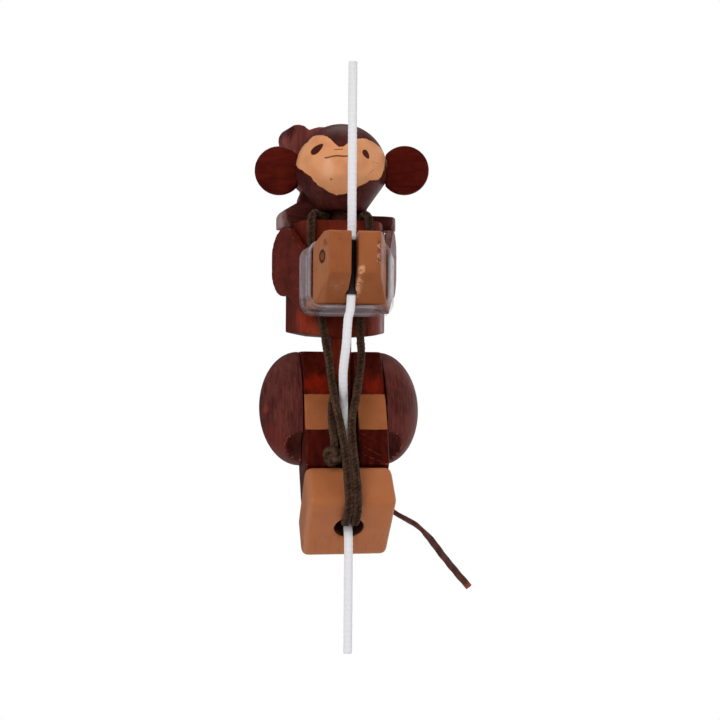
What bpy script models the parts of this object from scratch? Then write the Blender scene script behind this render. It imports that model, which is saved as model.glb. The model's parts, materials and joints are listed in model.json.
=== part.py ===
# Climbing figure toy: a wooden monkey that climbs a cord held between its hands and through its foot.
# Metres, +Z up, the figure faces -Y. The origin is the middle of the cord's top end.

import math

import bmesh
import bpy
from mathutils import Matrix, Vector

MM = 0.001

# Clearances
GLUE_GAP = 0.3 * MM  # between faces that are glued or rest on each other
RUNNING_GAP = 0.3 * MM  # round a pin that turns in its hole, or a dowel in its seat
ARM_PLAY = 1.15 * MM  # between an arm and the slanting side of the torso, which it turns against
TONGUE_PLAY = 0.5 * MM  # each side of the waist tongue in the slot of the legs
CORD_PLAY = 0.3 * MM  # round the cord in the groove of each hand
HEAD_PLAY = 0.5 * MM  # between the turning head and what is behind or under it
CUT_EXTRA = 2.0 * MM  # how far a cutter runs past the wall that it cuts

# Climbing cord
CORD_DIAMETER = 3.0 * MM
CORD_LENGTH_BELOW_FOOT = 40.5 * MM  # from the middle of the foot's bore to the cut end
CORD_STRAIGHT = 75.0 * MM  # from the top end to where the cord bends back into the legs

# Places of the joints, measured from the cord's line and its top end
SHOULDER_DROP = 62.3 * MM
SHOULDER_BACK = 30.0 * MM
TORSO_LINK = 45.7 * MM  # height from the shoulder pin to the hip pin
HIP_BACK = 27.0 * MM
LEG_LINK = 42.5 * MM  # height from the hip pin to the mouth of the foot's bore
BORE_BACK = 1.0 * MM

# Arms, each one board that ends in a hand
ARM_THICKNESS = 2.8 * MM
SHOULDER_RADIUS = 12.0 * MM
SHOULDER_SWEEP = math.radians(105.0)  # of the round, each way from the rear
HAND_GAP = 2.2 * MM  # between the two grip faces
HAND_WIDTH = 7.0 * MM  # across one hand's front face
HAND_REACH = 8.5 * MM  # how far a hand stands in front of the cord
GRIP_REACH = 4.0 * MM  # how far the flat grip face runs behind the cord
WRIST_BACK = 7.0 * MM  # where the straight board of the arm meets the slant of the hand
WRIST_ROUND = 6.0 * MM
INNER_WRIST_BACK = 11.0 * MM
HAND_TOP_RISE = 7.2 * MM  # the rises and drops here are from the shoulder pin's height
HAND_TOP_BACK = -4.0 * MM
HAND_FRONT_DROP = 6.2 * MM
HAND_CHIN_BACK = 3.0 * MM
HAND_CHIN_DROP = 15.2 * MM
WRIST_TOP_RISE = 1.8 * MM
WRIST_LOW_DROP = 18.5 * MM
WRIST_LOW_BACK = 12.0 * MM
ARM_EDGE_ROUND = 1.5 * MM

# Rubber band round the wrists
BAND_WALL = 1.4 * MM
BAND_FRONT = 3.2 * MM
BAND_WIDTH = 7.4 * MM
BAND_CORNER = 0.4 * MM  # of the inside, over the edges of the arms

# Pins
SHOULDER_PIN_DIAMETER = 4.5 * MM
SHOULDER_PIN_SEAT = 1.9 * MM  # how deep each end sits in its arm
HIP_PIN_DIAMETER = 4.0 * MM
HIP_PIN_SEAT = 4.0 * MM  # how deep each end sits in its haunch

# Torso
TORSO_WIDTH = 37.5 * MM  # across its rear
TORSO_DEPTH = 22.0 * MM
SIDE_TAPER = math.radians(15.5)  # how far each side slants inwards, from the rear to the front
TORSO_ABOVE_PIN = 13.8 * MM
TORSO_BELOW_PIN = 26.2 * MM
TORSO_SAG = 2.6 * MM  # how far the middle of the bottom edge hangs below its corners
TORSO_FRONT_ROUND = 6.0 * MM
TORSO_REAR_ROUND = 3.0 * MM

# Shoulder yoke
YOKE_LENGTH = 42.4 * MM
YOKE_HEIGHT = 5.0 * MM  # at its right end
YOKE_HIGH_END = 9.6 * MM  # its height towards its left end, which stays thicker
YOKE_HIGH_REACH = 13.5 * MM  # from the middle to where that end starts to slope down again
YOKE_END_DROP = 4.6 * MM  # how far it slopes down at that end
YOKE_DEPTH = 9.5 * MM
YOKE_SINK = 2.0 * MM  # how far it is let into the torso's top
YOKE_ROUND = 6.0 * MM  # its front corners, seen from above
YOKE_TOP_ROUND = 1.2 * MM

# Head and ears
HEAD_RADIUS = 15.8 * MM
HEAD_BELOW = 14.4 * MM  # from the ball's middle to the flat under the head
HEAD_FLAT_RADIUS = 8.0 * MM
HEAD_TAPER_DROP = 4.1 * MM  # below the middle, where the ball turns into the taper
NECK_DIAMETER = 7.0 * MM
NECK_SEAT = 7.0 * MM  # how deep the dowel sits in the torso
NECK_IN_HEAD = 6.0 * MM
HEAD_TURN = math.radians(-12.0)  # the head looks a little to its own right
EAR_RADIUS = 8.4 * MM
EAR_THICKNESS = 3.0 * MM
EAR_SINK = 2.5 * MM  # how far the disc's rim would reach inside the round of the head
EAR_EDGE = 0.5 * MM

# Young one on the back, a board cut to an outline
RIDER_THICKNESS = 11.0 * MM
RIDER_OFFSET = -3.5 * MM
RIDER_BODY_OFFSET = -0.7 * MM
RIDER_HEAD_RADIUS = 12.1 * MM
RIDER_HEAD_RISE = 24.2 * MM  # above the torso's top
RIDER_HEAD_TURN = math.radians(13.0)  # how far the head is turned
RIDER_HEAD_TILT = math.radians(37.0)  # how far it leans, left ear high and right ear low
RIDER_EAR_RADIUS = 4.7 * MM
RIDER_EAR_REACH = 12.4 * MM
RIDER_BODY_WIDTH = 25.0 * MM
RIDER_BODY_RISE = 6.1 * MM  # the rises are above the torso's top
RIDER_BODY_DROP = 10.5 * MM
RIDER_NECK_WIDTH = 24.2 * MM
RIDER_NECK_RISE = 11.0 * MM
RIDER_NAPE_WIDTH = 18.0 * MM  # where the body meets the round of the head
RIDER_NAPE_DROP = 8.5 * MM  # below the middle of the head
RIDER_ROUND = 3.0 * MM

# Waist tongue
TONGUE_WIDTH = 7.0 * MM
TONGUE_DEPTH = 11.0 * MM
TONGUE_SEAT = 8.0 * MM  # how deep it sits in the torso

# Legs, one block with a slot
LEG_WIDTH = 27.8 * MM
LEG_TOP_RISE = 14.7 * MM  # above the hip pin
LEG_TOP_AHEAD = 5.0 * MM  # from the hip pin forward to the top front edge
LEG_BEHIND = 13.0 * MM
LEG_KNEE_DROP = 5.0 * MM  # where the back starts to slant down to the foot
LEG_END = 21.0 * MM  # length of the end face that the foot is glued to
LEG_BULGE = 2.2 * MM  # how far the front stands out from a straight line
LEG_REAR_ROUND = 7.0 * MM
WEB = 3.4 * MM  # wood left behind the slot
WEB_RISE = 1.5 * MM  # above the hip pin, where the slot opens to the rear for the tongue's swing

# Haunches
HAUNCH_LONG = 20.0 * MM
HAUNCH_SHORT = 15.5 * MM
HAUNCH_THICKNESS = 12.8 * MM
HAUNCH_LEAN = math.radians(30.0)
HAUNCH_DROP = 4.0 * MM  # below the hip pin
SCOOP_RADIUS = 7.0 * MM
SCOOP_FORWARD = 19.5 * MM  # from the hip pin to the middle of the scoop
SCOOP_DROP = 20.0 * MM
SCOOP_OUT = 1.5 * MM  # from the haunch's flat side to the middle of the scoop

# Foot
SOLE_LEAN = math.radians(43.0)  # the sole's slope from the upright
FOOT_WIDTH = 28.8 * MM
FOOT_THICKNESS = 15.6 * MM
FOOT_LENGTH = 28.6 * MM
FOOT_EDGE = 2.2 * MM
BORE_DIAMETER = 9.3 * MM
BORE_FROM_TOE = 13.1 * MM

# Elastic, knot and tail
ELASTIC_DIAMETER = 2.7 * MM
NECK_SPREAD = 8.2 * MM  # from the middle to each strand where it comes forward over the torso
NECK_SLACK = 0.2 * MM
NECK_WRAP = (190.0, 162.0, 134.0, 106.0, 78.0, 50.0, 22.0, -10.0)  # degrees round the dowel
KNOT_RADIUS = 3.3 * MM
KNOT_DEPTH_SHARE = 0.8  # of its radius, from front to rear
KNOT_BELOW_END = 0.9 * MM  # from the end of the elastic down to the knot
TAIL_DIAMETER = 2.3 * MM
TAIL_DROP = 18.5 * MM  # from the hip pin down to where the tail leaves the back

# Facets
ROUND_SIDES = 28
HEAD_SIDES = 36
HEAD_STEP = math.radians(8.5)
PIN_SIDES = 16
ARC_STEP = math.radians(15.0)

# Positions that follow from the sizes above
SHOULDER = Vector((0.0, SHOULDER_BACK, -SHOULDER_DROP))
HIP = Vector((0.0, HIP_BACK, -SHOULDER_DROP - TORSO_LINK))
BORE_MOUTH = Vector((0.0, BORE_BACK, HIP.z - LEG_LINK))
SOLE_DOWN = Vector((0.0, math.sin(SOLE_LEAN), -math.cos(SOLE_LEAN)))
SOLE_IN = Vector((0.0, math.cos(SOLE_LEAN), math.sin(SOLE_LEAN)))
TOE = BORE_MOUTH - SOLE_DOWN * BORE_FROM_TOE
TORSO_TOP = SHOULDER.z + TORSO_ABOVE_PIN
TORSO_BOTTOM = SHOULDER.z - TORSO_BELOW_PIN
TORSO_REAR = SHOULDER.y + TORSO_DEPTH / 2
TORSO_FRONT = SHOULDER.y - TORSO_DEPTH / 2
NECK_GAP = ELASTIC_DIAMETER + 2 * GLUE_GAP  # the elastic lies round the neck, under the head
HEAD = Vector(
    (0.0, TORSO_REAR + GLUE_GAP - HEAD_PLAY - HEAD_RADIUS, TORSO_TOP + NECK_GAP + HEAD_BELOW)
)
GRIP_PLANE = HAND_GAP / 2
SLOT_HALF = TONGUE_WIDTH / 2 + TONGUE_PLAY
LEG_FRONT_END = TOE + SOLE_IN * (FOOT_THICKNESS + GLUE_GAP)

# Cord routes, in millimetres from the place named first, points chosen by hand from the photograph
CORD_BEND = (
    (HIP, (-0.9, -26.6, 25.0), (-1.3, -25.7, 17.0), (-1.75, -22.4, 8.0), (-0.9, -17.8, -1.5)),
    (HIP, (-0.3, -14.4, -11.5)),
    (BORE_MOUTH, (0.9, 13.2, 21.0), (0.7, 13.9, 14.5), (0.4, 12.2, 8.9), (0.2, 8.0, 4.3)),
    (BORE_MOUTH, (0.1, 3.9, 0.4), (0.0, 1.2, -3.0), (0.0, 0.6, -8.5), (0.0, 0.6, -24.5)),
)
CORD_END_BACK = 0.6 * MM  # from the bore's mouth back to the line of the hanging end
ELASTIC_KNOT_END = (
    (BORE_MOUTH, (-5.5, -1.0, 27.1), (-5.6, 0.4, 31.3)),
    (HIP, (-5.3, -22.6, -5.8), (-4.3, -18.8, -1.0), (-3.0, -15.9, 2.2), (-2.5, -12.4, 3.5)),
    (HIP, (-2.45, -9.6, 1.6), (-2.45, -8.8, -3.0), (-2.45, -9.1, -11.0), (-2.45, -9.6, -19.0)),
    (BORE_MOUTH, (-2.4, 14.4, 16.4), (-2.1, 10.5, 12.1), (-1.6, 5.6, 7.9), (-1.4, 0.8, 3.9)),
)
ELASTIC_TOE_LEFT = (
    (BORE_MOUTH, (-1.4, -2.4, 1.6), (-1.4, -5.0, 2.2), (-1.4, -7.3, 4.6), (-1.4, -9.8, 7.5)),
    (BORE_MOUTH, (-1.4, -10.6, 10.3), (-1.2, -9.5, 13.3), (-0.9, -6.6, 17.9), (-0.7, -3.6, 23.7)),
    (HIP, (-2.6, -25.4, -8.4), (-4.6, -20.8, 1.4), (-5.8, -16.0, 12.5)),
)
ELASTIC_NECK_LEFT = (
    (SHOULDER, (-6.8, -15.0, -22.2), (-7.8, -13.6, -7.7), (-8.9, -12.9, 7.3)),
    (SHOULDER, (-9.3, -12.95, 12.6), (-9.2, -12.55, 14.9), (-8.9, -11.3, 15.8)),
)
ELASTIC_TOE_RIGHT = (
    (HIP, (5.4, -16.0, 12.5), (4.2, -20.8, 1.4), (3.0, -25.4, -8.4)),
    (BORE_MOUTH, (2.4, -3.6, 23.7), (2.1, -6.6, 17.9), (1.8, -9.5, 13.3), (1.6, -10.6, 10.3)),
    (BORE_MOUTH, (1.5, -9.8, 7.5), (1.45, -7.3, 4.6), (1.4, -5.0, 2.2), (1.4, -2.4, 1.6)),
    (BORE_MOUTH, (1.4, 0.8, 3.9), (1.4, 5.0, 7.9)),
)
TAIL_ROUTE = (
    (HIP, (1.4, 9.6, -21.4), (4.6, 12.6, -25.6), (9.4, 13.4, -30.8), (14.8, 13.0, -36.4)),
    (HIP, (21.6, 11.2, -42.6), (29.8, 9.2, -47.4), (34.6, 8.0, -52.2), (39.0, 7.0, -58.0)),
    (HIP, (44.2, 6.0, -64.4), (48.4, 5.2, -69.2)),
)


def clear_scene():
    for obj in list(bpy.data.objects):
        bpy.data.objects.remove(obj)


def make_material(name, colour, roughness):
    material = bpy.data.materials.new(name)
    material.use_nodes = True
    shader = material.node_tree.nodes["Principled BSDF"]
    shader.inputs["Base Color"].default_value = (*colour, 1.0)
    shader.inputs["Roughness"].default_value = roughness
    shader.inputs["Metallic"].default_value = 0.0
    return material


def make_axis(name, place, parent=None):
    """An empty on a joint's axis, which carries the pieces that move with the joint."""
    axis = bpy.data.objects.new(name, None)
    bpy.context.scene.collection.objects.link(axis)
    axis.empty_display_size = 5 * MM
    axis["place"] = tuple(place)
    axis.location = place - Vector(parent["place"]) if parent else place
    axis.parent = parent
    return axis


def put_on_axis(obj, axis):
    """Hangs an object, modelled in world coordinates, on the empty of its joint."""
    obj.parent = axis
    obj.data.transform(Matrix.Translation(-Vector(axis["place"])))
    return obj


def add_mesh(name, bm, material, axis):
    bmesh.ops.recalc_face_normals(bm, faces=bm.faces)
    mesh = bpy.data.meshes.new(name)
    bm.to_mesh(mesh)
    bm.free()
    mesh.materials.append(material)
    mesh.shade_smooth()
    mesh.set_sharp_from_angle(angle=math.radians(40.0))
    obj = bpy.data.objects.new(name, mesh)
    bpy.context.scene.collection.objects.link(obj)
    return put_on_axis(obj, axis)


def rounded(corners):
    """An outline from (across, up, radius) corners: each corner with a radius becomes an arc."""
    outline = []
    count = len(corners)
    for i, (across, up, radius) in enumerate(corners):
        here = Vector((across, up))
        before = Vector(corners[i - 1][:2]) - here
        after = Vector(corners[(i + 1) % count][:2]) - here
        turn = math.pi - before.angle(after)
        if radius <= 0 or turn < 1e-3:
            outline.append(here)
            continue
        run = min(radius * math.tan(turn / 2), 0.49 * before.length, 0.49 * after.length)
        radius = run / math.tan(turn / 2)
        inward = (before.normalized() + after.normalized()).normalized()
        centre = here + inward * (radius / math.cos(turn / 2))
        first = here + before.normalized() * run - centre
        last = here + after.normalized() * run - centre
        steps = max(1, math.ceil(turn / ARC_STEP))
        sweep = first.angle_signed(last)
        for step in range(steps + 1):
            outline.append(centre + Matrix.Rotation(-sweep * step / steps, 2) @ first)
    return outline


def arc_between(start, end, bulge):
    """Points from start to end on an arc that stands out to the left of the way by bulge."""
    chord = end - start
    half = chord.length / 2
    radius = (half * half + bulge * bulge) / (2 * bulge)
    side = Vector((-chord.y, chord.x)).normalized()
    centre = start + chord / 2 + side * (bulge - radius)
    spread = 2 * math.asin(half / radius)
    steps = max(3, math.ceil(2 * spread / ARC_STEP))
    first = start - centre
    return [centre + Matrix.Rotation(-spread * k / steps, 2) @ first for k in range(steps + 1)]


def to_space(axis_name, point, along):
    """A point of an outline in space: X takes (y, z), Y takes (x, z) and Z takes (x, y)."""
    if axis_name == "X":
        return Vector((along, point[0], point[1]))
    if axis_name == "Y":
        return Vector((point[0], along, point[1]))
    return Vector((point[0], point[1], along))


def prism_mesh(outline, axis_name, low, high):
    """An outline carried straight along one axis, closed at both ends."""
    bm = bmesh.new()
    ring = [bm.verts.new(to_space(axis_name, point, low)) for point in outline]
    face = bm.faces.new(ring)
    made = bmesh.ops.extrude_face_region(bm, geom=[face])
    moved = [item for item in made["geom"] if isinstance(item, bmesh.types.BMVert)]
    shift = to_space(axis_name, (0.0, 0.0), high - low)
    bmesh.ops.translate(bm, verts=moved, vec=shift)
    return bm


def rod_mesh(start, end, radius, sides):
    """A round bar from start to end."""
    way = end - start
    turn = way.to_track_quat("Z", "Y").to_matrix().to_4x4()
    bm = bmesh.new()
    bmesh.ops.create_cone(
        bm,
        cap_ends=True,
        segments=sides,
        radius1=radius,
        radius2=radius,
        depth=way.length,
        matrix=Matrix.Translation((start + end) / 2) @ turn,
    )
    return bm


def ball_mesh(centre, radii, sides, rings):
    """A ball, or an egg where the three radii differ."""
    bm = bmesh.new()
    bmesh.ops.create_uvsphere(bm, u_segments=sides, v_segments=rings, radius=1.0)
    stretch = Matrix.Diagonal((*radii, 1.0))
    bmesh.ops.transform(bm, matrix=Matrix.Translation(centre) @ stretch, verts=bm.verts)
    return bm


def combine(target, tool_mesh, operation, axis):
    """Cuts, joins or intersects a piece with a tool shape, which stays as a hidden guide."""
    label = f"{target.name}_{operation.lower()}_{len(target.modifiers)}"
    tool = add_mesh(label, tool_mesh, target.data.materials[0], axis)
    tool.hide_render = True
    tool.display_type = "WIRE"
    modifier = target.modifiers.new(label, "BOOLEAN")
    modifier.operation = operation
    modifier.solver = "EXACT"
    modifier.object = tool


def round_edges(target, width, segments):
    modifier = target.modifiers.new("rounded_edges", "BEVEL")
    modifier.width = width
    modifier.segments = segments
    modifier.limit_method = "ANGLE"
    modifier.angle_limit = math.radians(35.0)


def smooth_path(points, spacing):
    """Points along a Catmull-Rom curve through the given points, about spacing apart."""
    ends = [points[0] * 2 - points[1], *points, points[-1] * 2 - points[-2]]
    path = []
    for i in range(1, len(ends) - 2):
        before, here, there, after = ends[i - 1 : i + 3]
        pieces = max(1, round((there - here).length / spacing))
        for k in range(pieces):
            t = k / pieces
            slope_in = (there - before) / 2
            slope_out = (after - here) / 2
            path.append(
                here * (2 * t**3 - 3 * t**2 + 1)
                + slope_in * (t**3 - 2 * t**2 + t)
                + there * (3 * t**2 - 2 * t**3)
                + slope_out * (t**3 - t**2)
            )
    return [*path, points[-1]]


def add_tube(name, points, diameter, spacing, material, axis):
    """A cord: a round tube along a smooth curve through the points."""
    data = bpy.data.curves.new(name, "CURVE")
    data.dimensions = "3D"
    data.bevel_depth = diameter / 2
    data.bevel_resolution = 2
    data.use_fill_caps = True
    path = smooth_path(points, spacing)
    spline = data.splines.new("POLY")
    spline.points.add(len(path) - 1)
    for target, place in zip(spline.points, path):
        target.co = (*place, 1.0)
    data.materials.append(material)
    obj = bpy.data.objects.new(name, data)
    bpy.context.scene.collection.objects.link(obj)
    return put_on_axis(obj, axis)


def route(legs):
    """The points of a route in world coordinates: each leg starts with the place it is measured from."""
    return [place + Vector(point) * MM for place, *points in legs for point in points]


def elastic_route():
    """From the knot into the legs, through the foot, round the neck, and back into the foot."""
    ring = NECK_DIAMETER / 2 + ELASTIC_DIAMETER / 2 + GLUE_GAP + NECK_SLACK
    level = TORSO_TOP + NECK_GAP / 2
    neck = [Vector((-NECK_SPREAD, TORSO_FRONT + ELASTIC_DIAMETER, level))]
    for degrees in NECK_WRAP:
        angle = math.radians(degrees)
        neck.append(Vector((ring * math.cos(angle), HEAD.y + ring * math.sin(angle), level)))
    neck.append(Vector((NECK_SPREAD, TORSO_FRONT + ELASTIC_DIAMETER, level)))
    left = route(ELASTIC_NECK_LEFT)
    right = [Vector((-point.x, point.y, point.z)) for point in reversed(left)]
    start = route(ELASTIC_KNOT_END) + route(ELASTIC_TOE_LEFT)
    return start + left + neck + right + route(ELASTIC_TOE_RIGHT)


def mix(start, end, share):
    return start + (end - start) * share


def side_half(depth):
    """How far the torso's side lies from the middle at a depth."""
    return TORSO_WIDTH / 2 - (TORSO_REAR - depth) * math.tan(SIDE_TAPER)


def arm_inner(depth):
    """How far an arm's inner face lies from the middle at a depth, behind the wrist."""
    return side_half(depth) + ARM_PLAY


def arm_outer(depth):
    """How far an arm's outer face lies from the middle at a depth, behind the wrist."""
    return arm_inner(depth) + ARM_THICKNESS


def arm_plan():
    """The arm seen from above, as (half width, depth) corners, from the shoulder's rear round."""
    rear = SHOULDER.y + SHOULDER_RADIUS
    return [
        (arm_outer(rear), rear, ARM_EDGE_ROUND),
        (arm_outer(WRIST_BACK), WRIST_BACK, WRIST_ROUND),
        (GRIP_PLANE + HAND_WIDTH, -HAND_REACH, ARM_EDGE_ROUND),
        (GRIP_PLANE, -HAND_REACH, ARM_EDGE_ROUND / 2),
        (GRIP_PLANE, GRIP_REACH, ARM_EDGE_ROUND),
        (arm_inner(INNER_WRIST_BACK), INNER_WRIST_BACK, ARM_EDGE_ROUND),
        (arm_inner(rear), rear, 0.0),
    ]


def arm_side():
    """The arm seen from its side, as (depth, height) points: a round shoulder, wrist and hand."""
    steps = math.ceil(2 * SHOULDER_SWEEP / ARC_STEP)
    shoulder = []
    for step in range(steps + 1):
        angle = mix(-SHOULDER_SWEEP, SHOULDER_SWEEP, step / steps)
        across = SHOULDER.y + SHOULDER_RADIUS * math.cos(angle)
        shoulder.append(Vector((across, SHOULDER.z + SHOULDER_RADIUS * math.sin(angle))))
    front = rounded(
        [
            (*shoulder[-1], 0.0),
            (WRIST_LOW_BACK, SHOULDER.z + WRIST_TOP_RISE, 2 * ARM_EDGE_ROUND),
            (WRIST_BACK, SHOULDER.z + WRIST_TOP_RISE, ARM_EDGE_ROUND),
            (HAND_TOP_BACK, SHOULDER.z + HAND_TOP_RISE, ARM_EDGE_ROUND),
            (-HAND_REACH, SHOULDER.z + HAND_TOP_RISE, ARM_EDGE_ROUND),
            (-HAND_REACH, SHOULDER.z - HAND_FRONT_DROP, ARM_EDGE_ROUND),
            (HAND_CHIN_BACK, SHOULDER.z - HAND_CHIN_DROP, ARM_EDGE_ROUND),
            (WRIST_LOW_BACK, SHOULDER.z - WRIST_LOW_DROP, ARM_EDGE_ROUND),
            (*shoulder[0], 0.0),
        ]
    )
    return shoulder + front[1:-1]


def add_arm(name, side, material, axis):
    """One arm: its outline from above and its outline from the side, carried through each other."""
    plan = [Vector((side * across, depth)) for across, depth in rounded(arm_plan())]
    low = SHOULDER.z - WRIST_LOW_DROP - CUT_EXTRA
    high = SHOULDER.z + SHOULDER_RADIUS + CUT_EXTRA
    arm = add_mesh(name, prism_mesh(plan, "Z", low, high), material, axis)
    far = arm_outer(SHOULDER.y + SHOULDER_RADIUS) + CUT_EXTRA
    reach = sorted((side * (GRIP_PLANE - CUT_EXTRA), side * far))
    combine(arm, prism_mesh(arm_side(), "X", *reach), "INTERSECT", axis)
    groove_top = Vector((0.0, 0.0, high))
    groove_low = Vector((0.0, 0.0, low))
    groove = rod_mesh(groove_low, groove_top, CORD_DIAMETER / 2 + CORD_PLAY, PIN_SIDES)
    combine(arm, groove, "DIFFERENCE", axis)
    hole_radius = SHOULDER_PIN_DIAMETER / 2 + RUNNING_GAP
    seat = arm_inner(SHOULDER.y)
    inner = SHOULDER + Vector((side * (seat - CUT_EXTRA), 0.0, 0.0))
    outer = SHOULDER + Vector((side * (seat + SHOULDER_PIN_SEAT + GLUE_GAP), 0.0, 0.0))
    combine(arm, rod_mesh(inner, outer, hole_radius, PIN_SIDES), "DIFFERENCE", axis)
    return arm


def arm_half_width(depth):
    """How far the outer face of a hand or an arm lies from the middle at a depth."""
    if depth >= WRIST_BACK:
        return arm_outer(depth)
    share = (depth + HAND_REACH) / (WRIST_BACK + HAND_REACH)
    return mix(GRIP_PLANE + HAND_WIDTH, arm_outer(WRIST_BACK), share)


def arm_low_edge(depth):
    """The height of the arm's lower edge between the chin of the hand and the wrist."""
    share = (depth - HAND_CHIN_BACK) / (WRIST_LOW_BACK - HAND_CHIN_BACK)
    drop = mix(HAND_CHIN_DROP, WRIST_LOW_DROP, min(share, 1.0))
    return SHOULDER.z - drop


def arm_high_edge(depth):
    """The height of the arm's upper edge between the top of the hand and the wrist."""
    share = (depth - HAND_TOP_BACK) / (WRIST_BACK - HAND_TOP_BACK)
    return SHOULDER.z + mix(HAND_TOP_RISE, WRIST_TOP_RISE, min(share, 1.0))


def band_ring(depth, grow):
    """One section of the band: a round-cornered frame a little outside both arms."""
    half = arm_half_width(depth) + GLUE_GAP + grow
    low = arm_low_edge(depth) - GLUE_GAP - grow
    high = arm_high_edge(depth) + GLUE_GAP + grow
    corner = BAND_CORNER + grow
    frame = [(-half, low, corner), (half, low, corner), (half, high, corner), (-half, high, corner)]
    return [Vector((across, depth, up)) for across, up in rounded(frame)]


def band_mesh():
    """The band: four walls between rings, inner and outer, front and rear."""
    stations = (BAND_FRONT, WRIST_BACK, BAND_FRONT + BAND_WIDTH)
    rings = [band_ring(depth, BAND_WALL) for depth in stations]
    rings += [band_ring(depth, 0.0) for depth in reversed(stations)]
    bm = bmesh.new()
    verts = [[bm.verts.new(point) for point in ring] for ring in rings]
    count = len(verts[0])
    for i, ring in enumerate(verts):
        after = verts[(i + 1) % len(verts)]
        for k in range(count):
            nxt = (k + 1) % count
            bm.faces.new((ring[k], ring[nxt], after[nxt], after[k]))
    return bm


def add_torso(material, axis):
    """The body block: narrower in front, with a bottom edge that sags in the middle."""
    half = TORSO_WIDTH / 2
    front_half = side_half(TORSO_FRONT)
    plan = rounded(
        [
            (-front_half, TORSO_FRONT, TORSO_FRONT_ROUND),
            (front_half, TORSO_FRONT, TORSO_FRONT_ROUND),
            (half, TORSO_REAR, TORSO_REAR_ROUND),
            (-half, TORSO_REAR, TORSO_REAR_ROUND),
        ]
    )
    low = TORSO_BOTTOM - CUT_EXTRA
    torso = add_mesh("torso", prism_mesh(plan, "Z", low, TORSO_TOP), material, axis)
    wide = half + CUT_EXTRA
    corner_height = TORSO_BOTTOM + TORSO_SAG
    sag = arc_between(Vector((wide, corner_height)), Vector((-wide, corner_height)), TORSO_SAG)
    outline = [Vector((-wide, TORSO_TOP + CUT_EXTRA)), Vector((wide, TORSO_TOP + CUT_EXTRA)), *sag]
    depth_low = TORSO_FRONT - CUT_EXTRA
    depth_high = TORSO_REAR + CUT_EXTRA
    combine(torso, prism_mesh(outline, "Y", depth_low, depth_high), "INTERSECT", axis)
    ledge = [
        Vector((TORSO_REAR - YOKE_DEPTH - GLUE_GAP, TORSO_TOP - YOKE_SINK)),
        Vector((TORSO_REAR + CUT_EXTRA, TORSO_TOP - YOKE_SINK)),
        Vector((TORSO_REAR + CUT_EXTRA, TORSO_TOP + CUT_EXTRA)),
        Vector((TORSO_REAR - YOKE_DEPTH - GLUE_GAP, TORSO_TOP + CUT_EXTRA)),
    ]
    combine(torso, prism_mesh(ledge, "X", -wide, wide), "DIFFERENCE", axis)
    across = Vector((wide, 0.0, 0.0))
    hole = SHOULDER_PIN_DIAMETER / 2 + RUNNING_GAP
    pin_hole = rod_mesh(SHOULDER - across, SHOULDER + across, hole, PIN_SIDES)
    combine(torso, pin_hole, "DIFFERENCE", axis)
    neck_low = Vector((0.0, HEAD.y, TORSO_TOP - NECK_SEAT - GLUE_GAP))
    neck_high = Vector((0.0, HEAD.y, TORSO_TOP + CUT_EXTRA))
    seat = rod_mesh(neck_low, neck_high, NECK_DIAMETER / 2 + RUNNING_GAP, PIN_SIDES)
    combine(torso, seat, "DIFFERENCE", axis)
    seat_half = TONGUE_WIDTH / 2 + GLUE_GAP
    seat_depth = TONGUE_DEPTH / 2 + GLUE_GAP
    mortise = [
        Vector((-seat_half, HIP.y - seat_depth)),
        Vector((seat_half, HIP.y - seat_depth)),
        Vector((seat_half, HIP.y + seat_depth)),
        Vector((-seat_half, HIP.y + seat_depth)),
    ]
    top = TORSO_BOTTOM + TONGUE_SEAT + GLUE_GAP
    combine(torso, prism_mesh(mortise, "Z", low - CUT_EXTRA, top), "DIFFERENCE", axis)


def add_yoke(material, axis):
    """The shoulder bar: let into the torso's top at the rear, hollowed for the round of the head."""
    half = YOKE_LENGTH / 2
    low = TORSO_TOP - YOKE_SINK + GLUE_GAP
    high = low + YOKE_HIGH_END
    front = TORSO_REAR - YOKE_DEPTH
    plan = rounded(
        [
            (-half, front, YOKE_ROUND),
            (half, front, YOKE_ROUND),
            (half, TORSO_REAR, 0.0),
            (-half, TORSO_REAR, 0.0),
        ]
    )
    yoke = add_mesh("shoulder_yoke", prism_mesh(plan, "Z", low, high), material, axis)
    elevation = rounded(
        [
            (-half, low - CUT_EXTRA, 0.0),
            (half, low - CUT_EXTRA, 0.0),
            (half, low + YOKE_HEIGHT, YOKE_TOP_ROUND),
            (NECK_SPREAD, low + YOKE_HEIGHT, 0.0),
            (-NECK_SPREAD, high, 0.0),
            (-YOKE_HIGH_REACH, high, YOKE_TOP_ROUND),
            (-half, high - YOKE_END_DROP, YOKE_TOP_ROUND),
        ]
    )
    depth = prism_mesh(elevation, "Y", front - CUT_EXTRA, TORSO_REAR + CUT_EXTRA)
    combine(yoke, depth, "INTERSECT", axis)
    profile = head_profile(HEAD_PLAY)
    combine(yoke, turned_mesh(HEAD, profile, ROUND_SIDES), "DIFFERENCE", axis)
    neck_room = NECK_DIAMETER / 2 + ELASTIC_DIAMETER + 2 * GLUE_GAP
    below = HEAD - Vector((0.0, 0.0, HEAD_BELOW + NECK_GAP + YOKE_SINK + CUT_EXTRA))
    combine(yoke, rod_mesh(below, HEAD, neck_room, ROUND_SIDES), "DIFFERENCE", axis)


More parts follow.
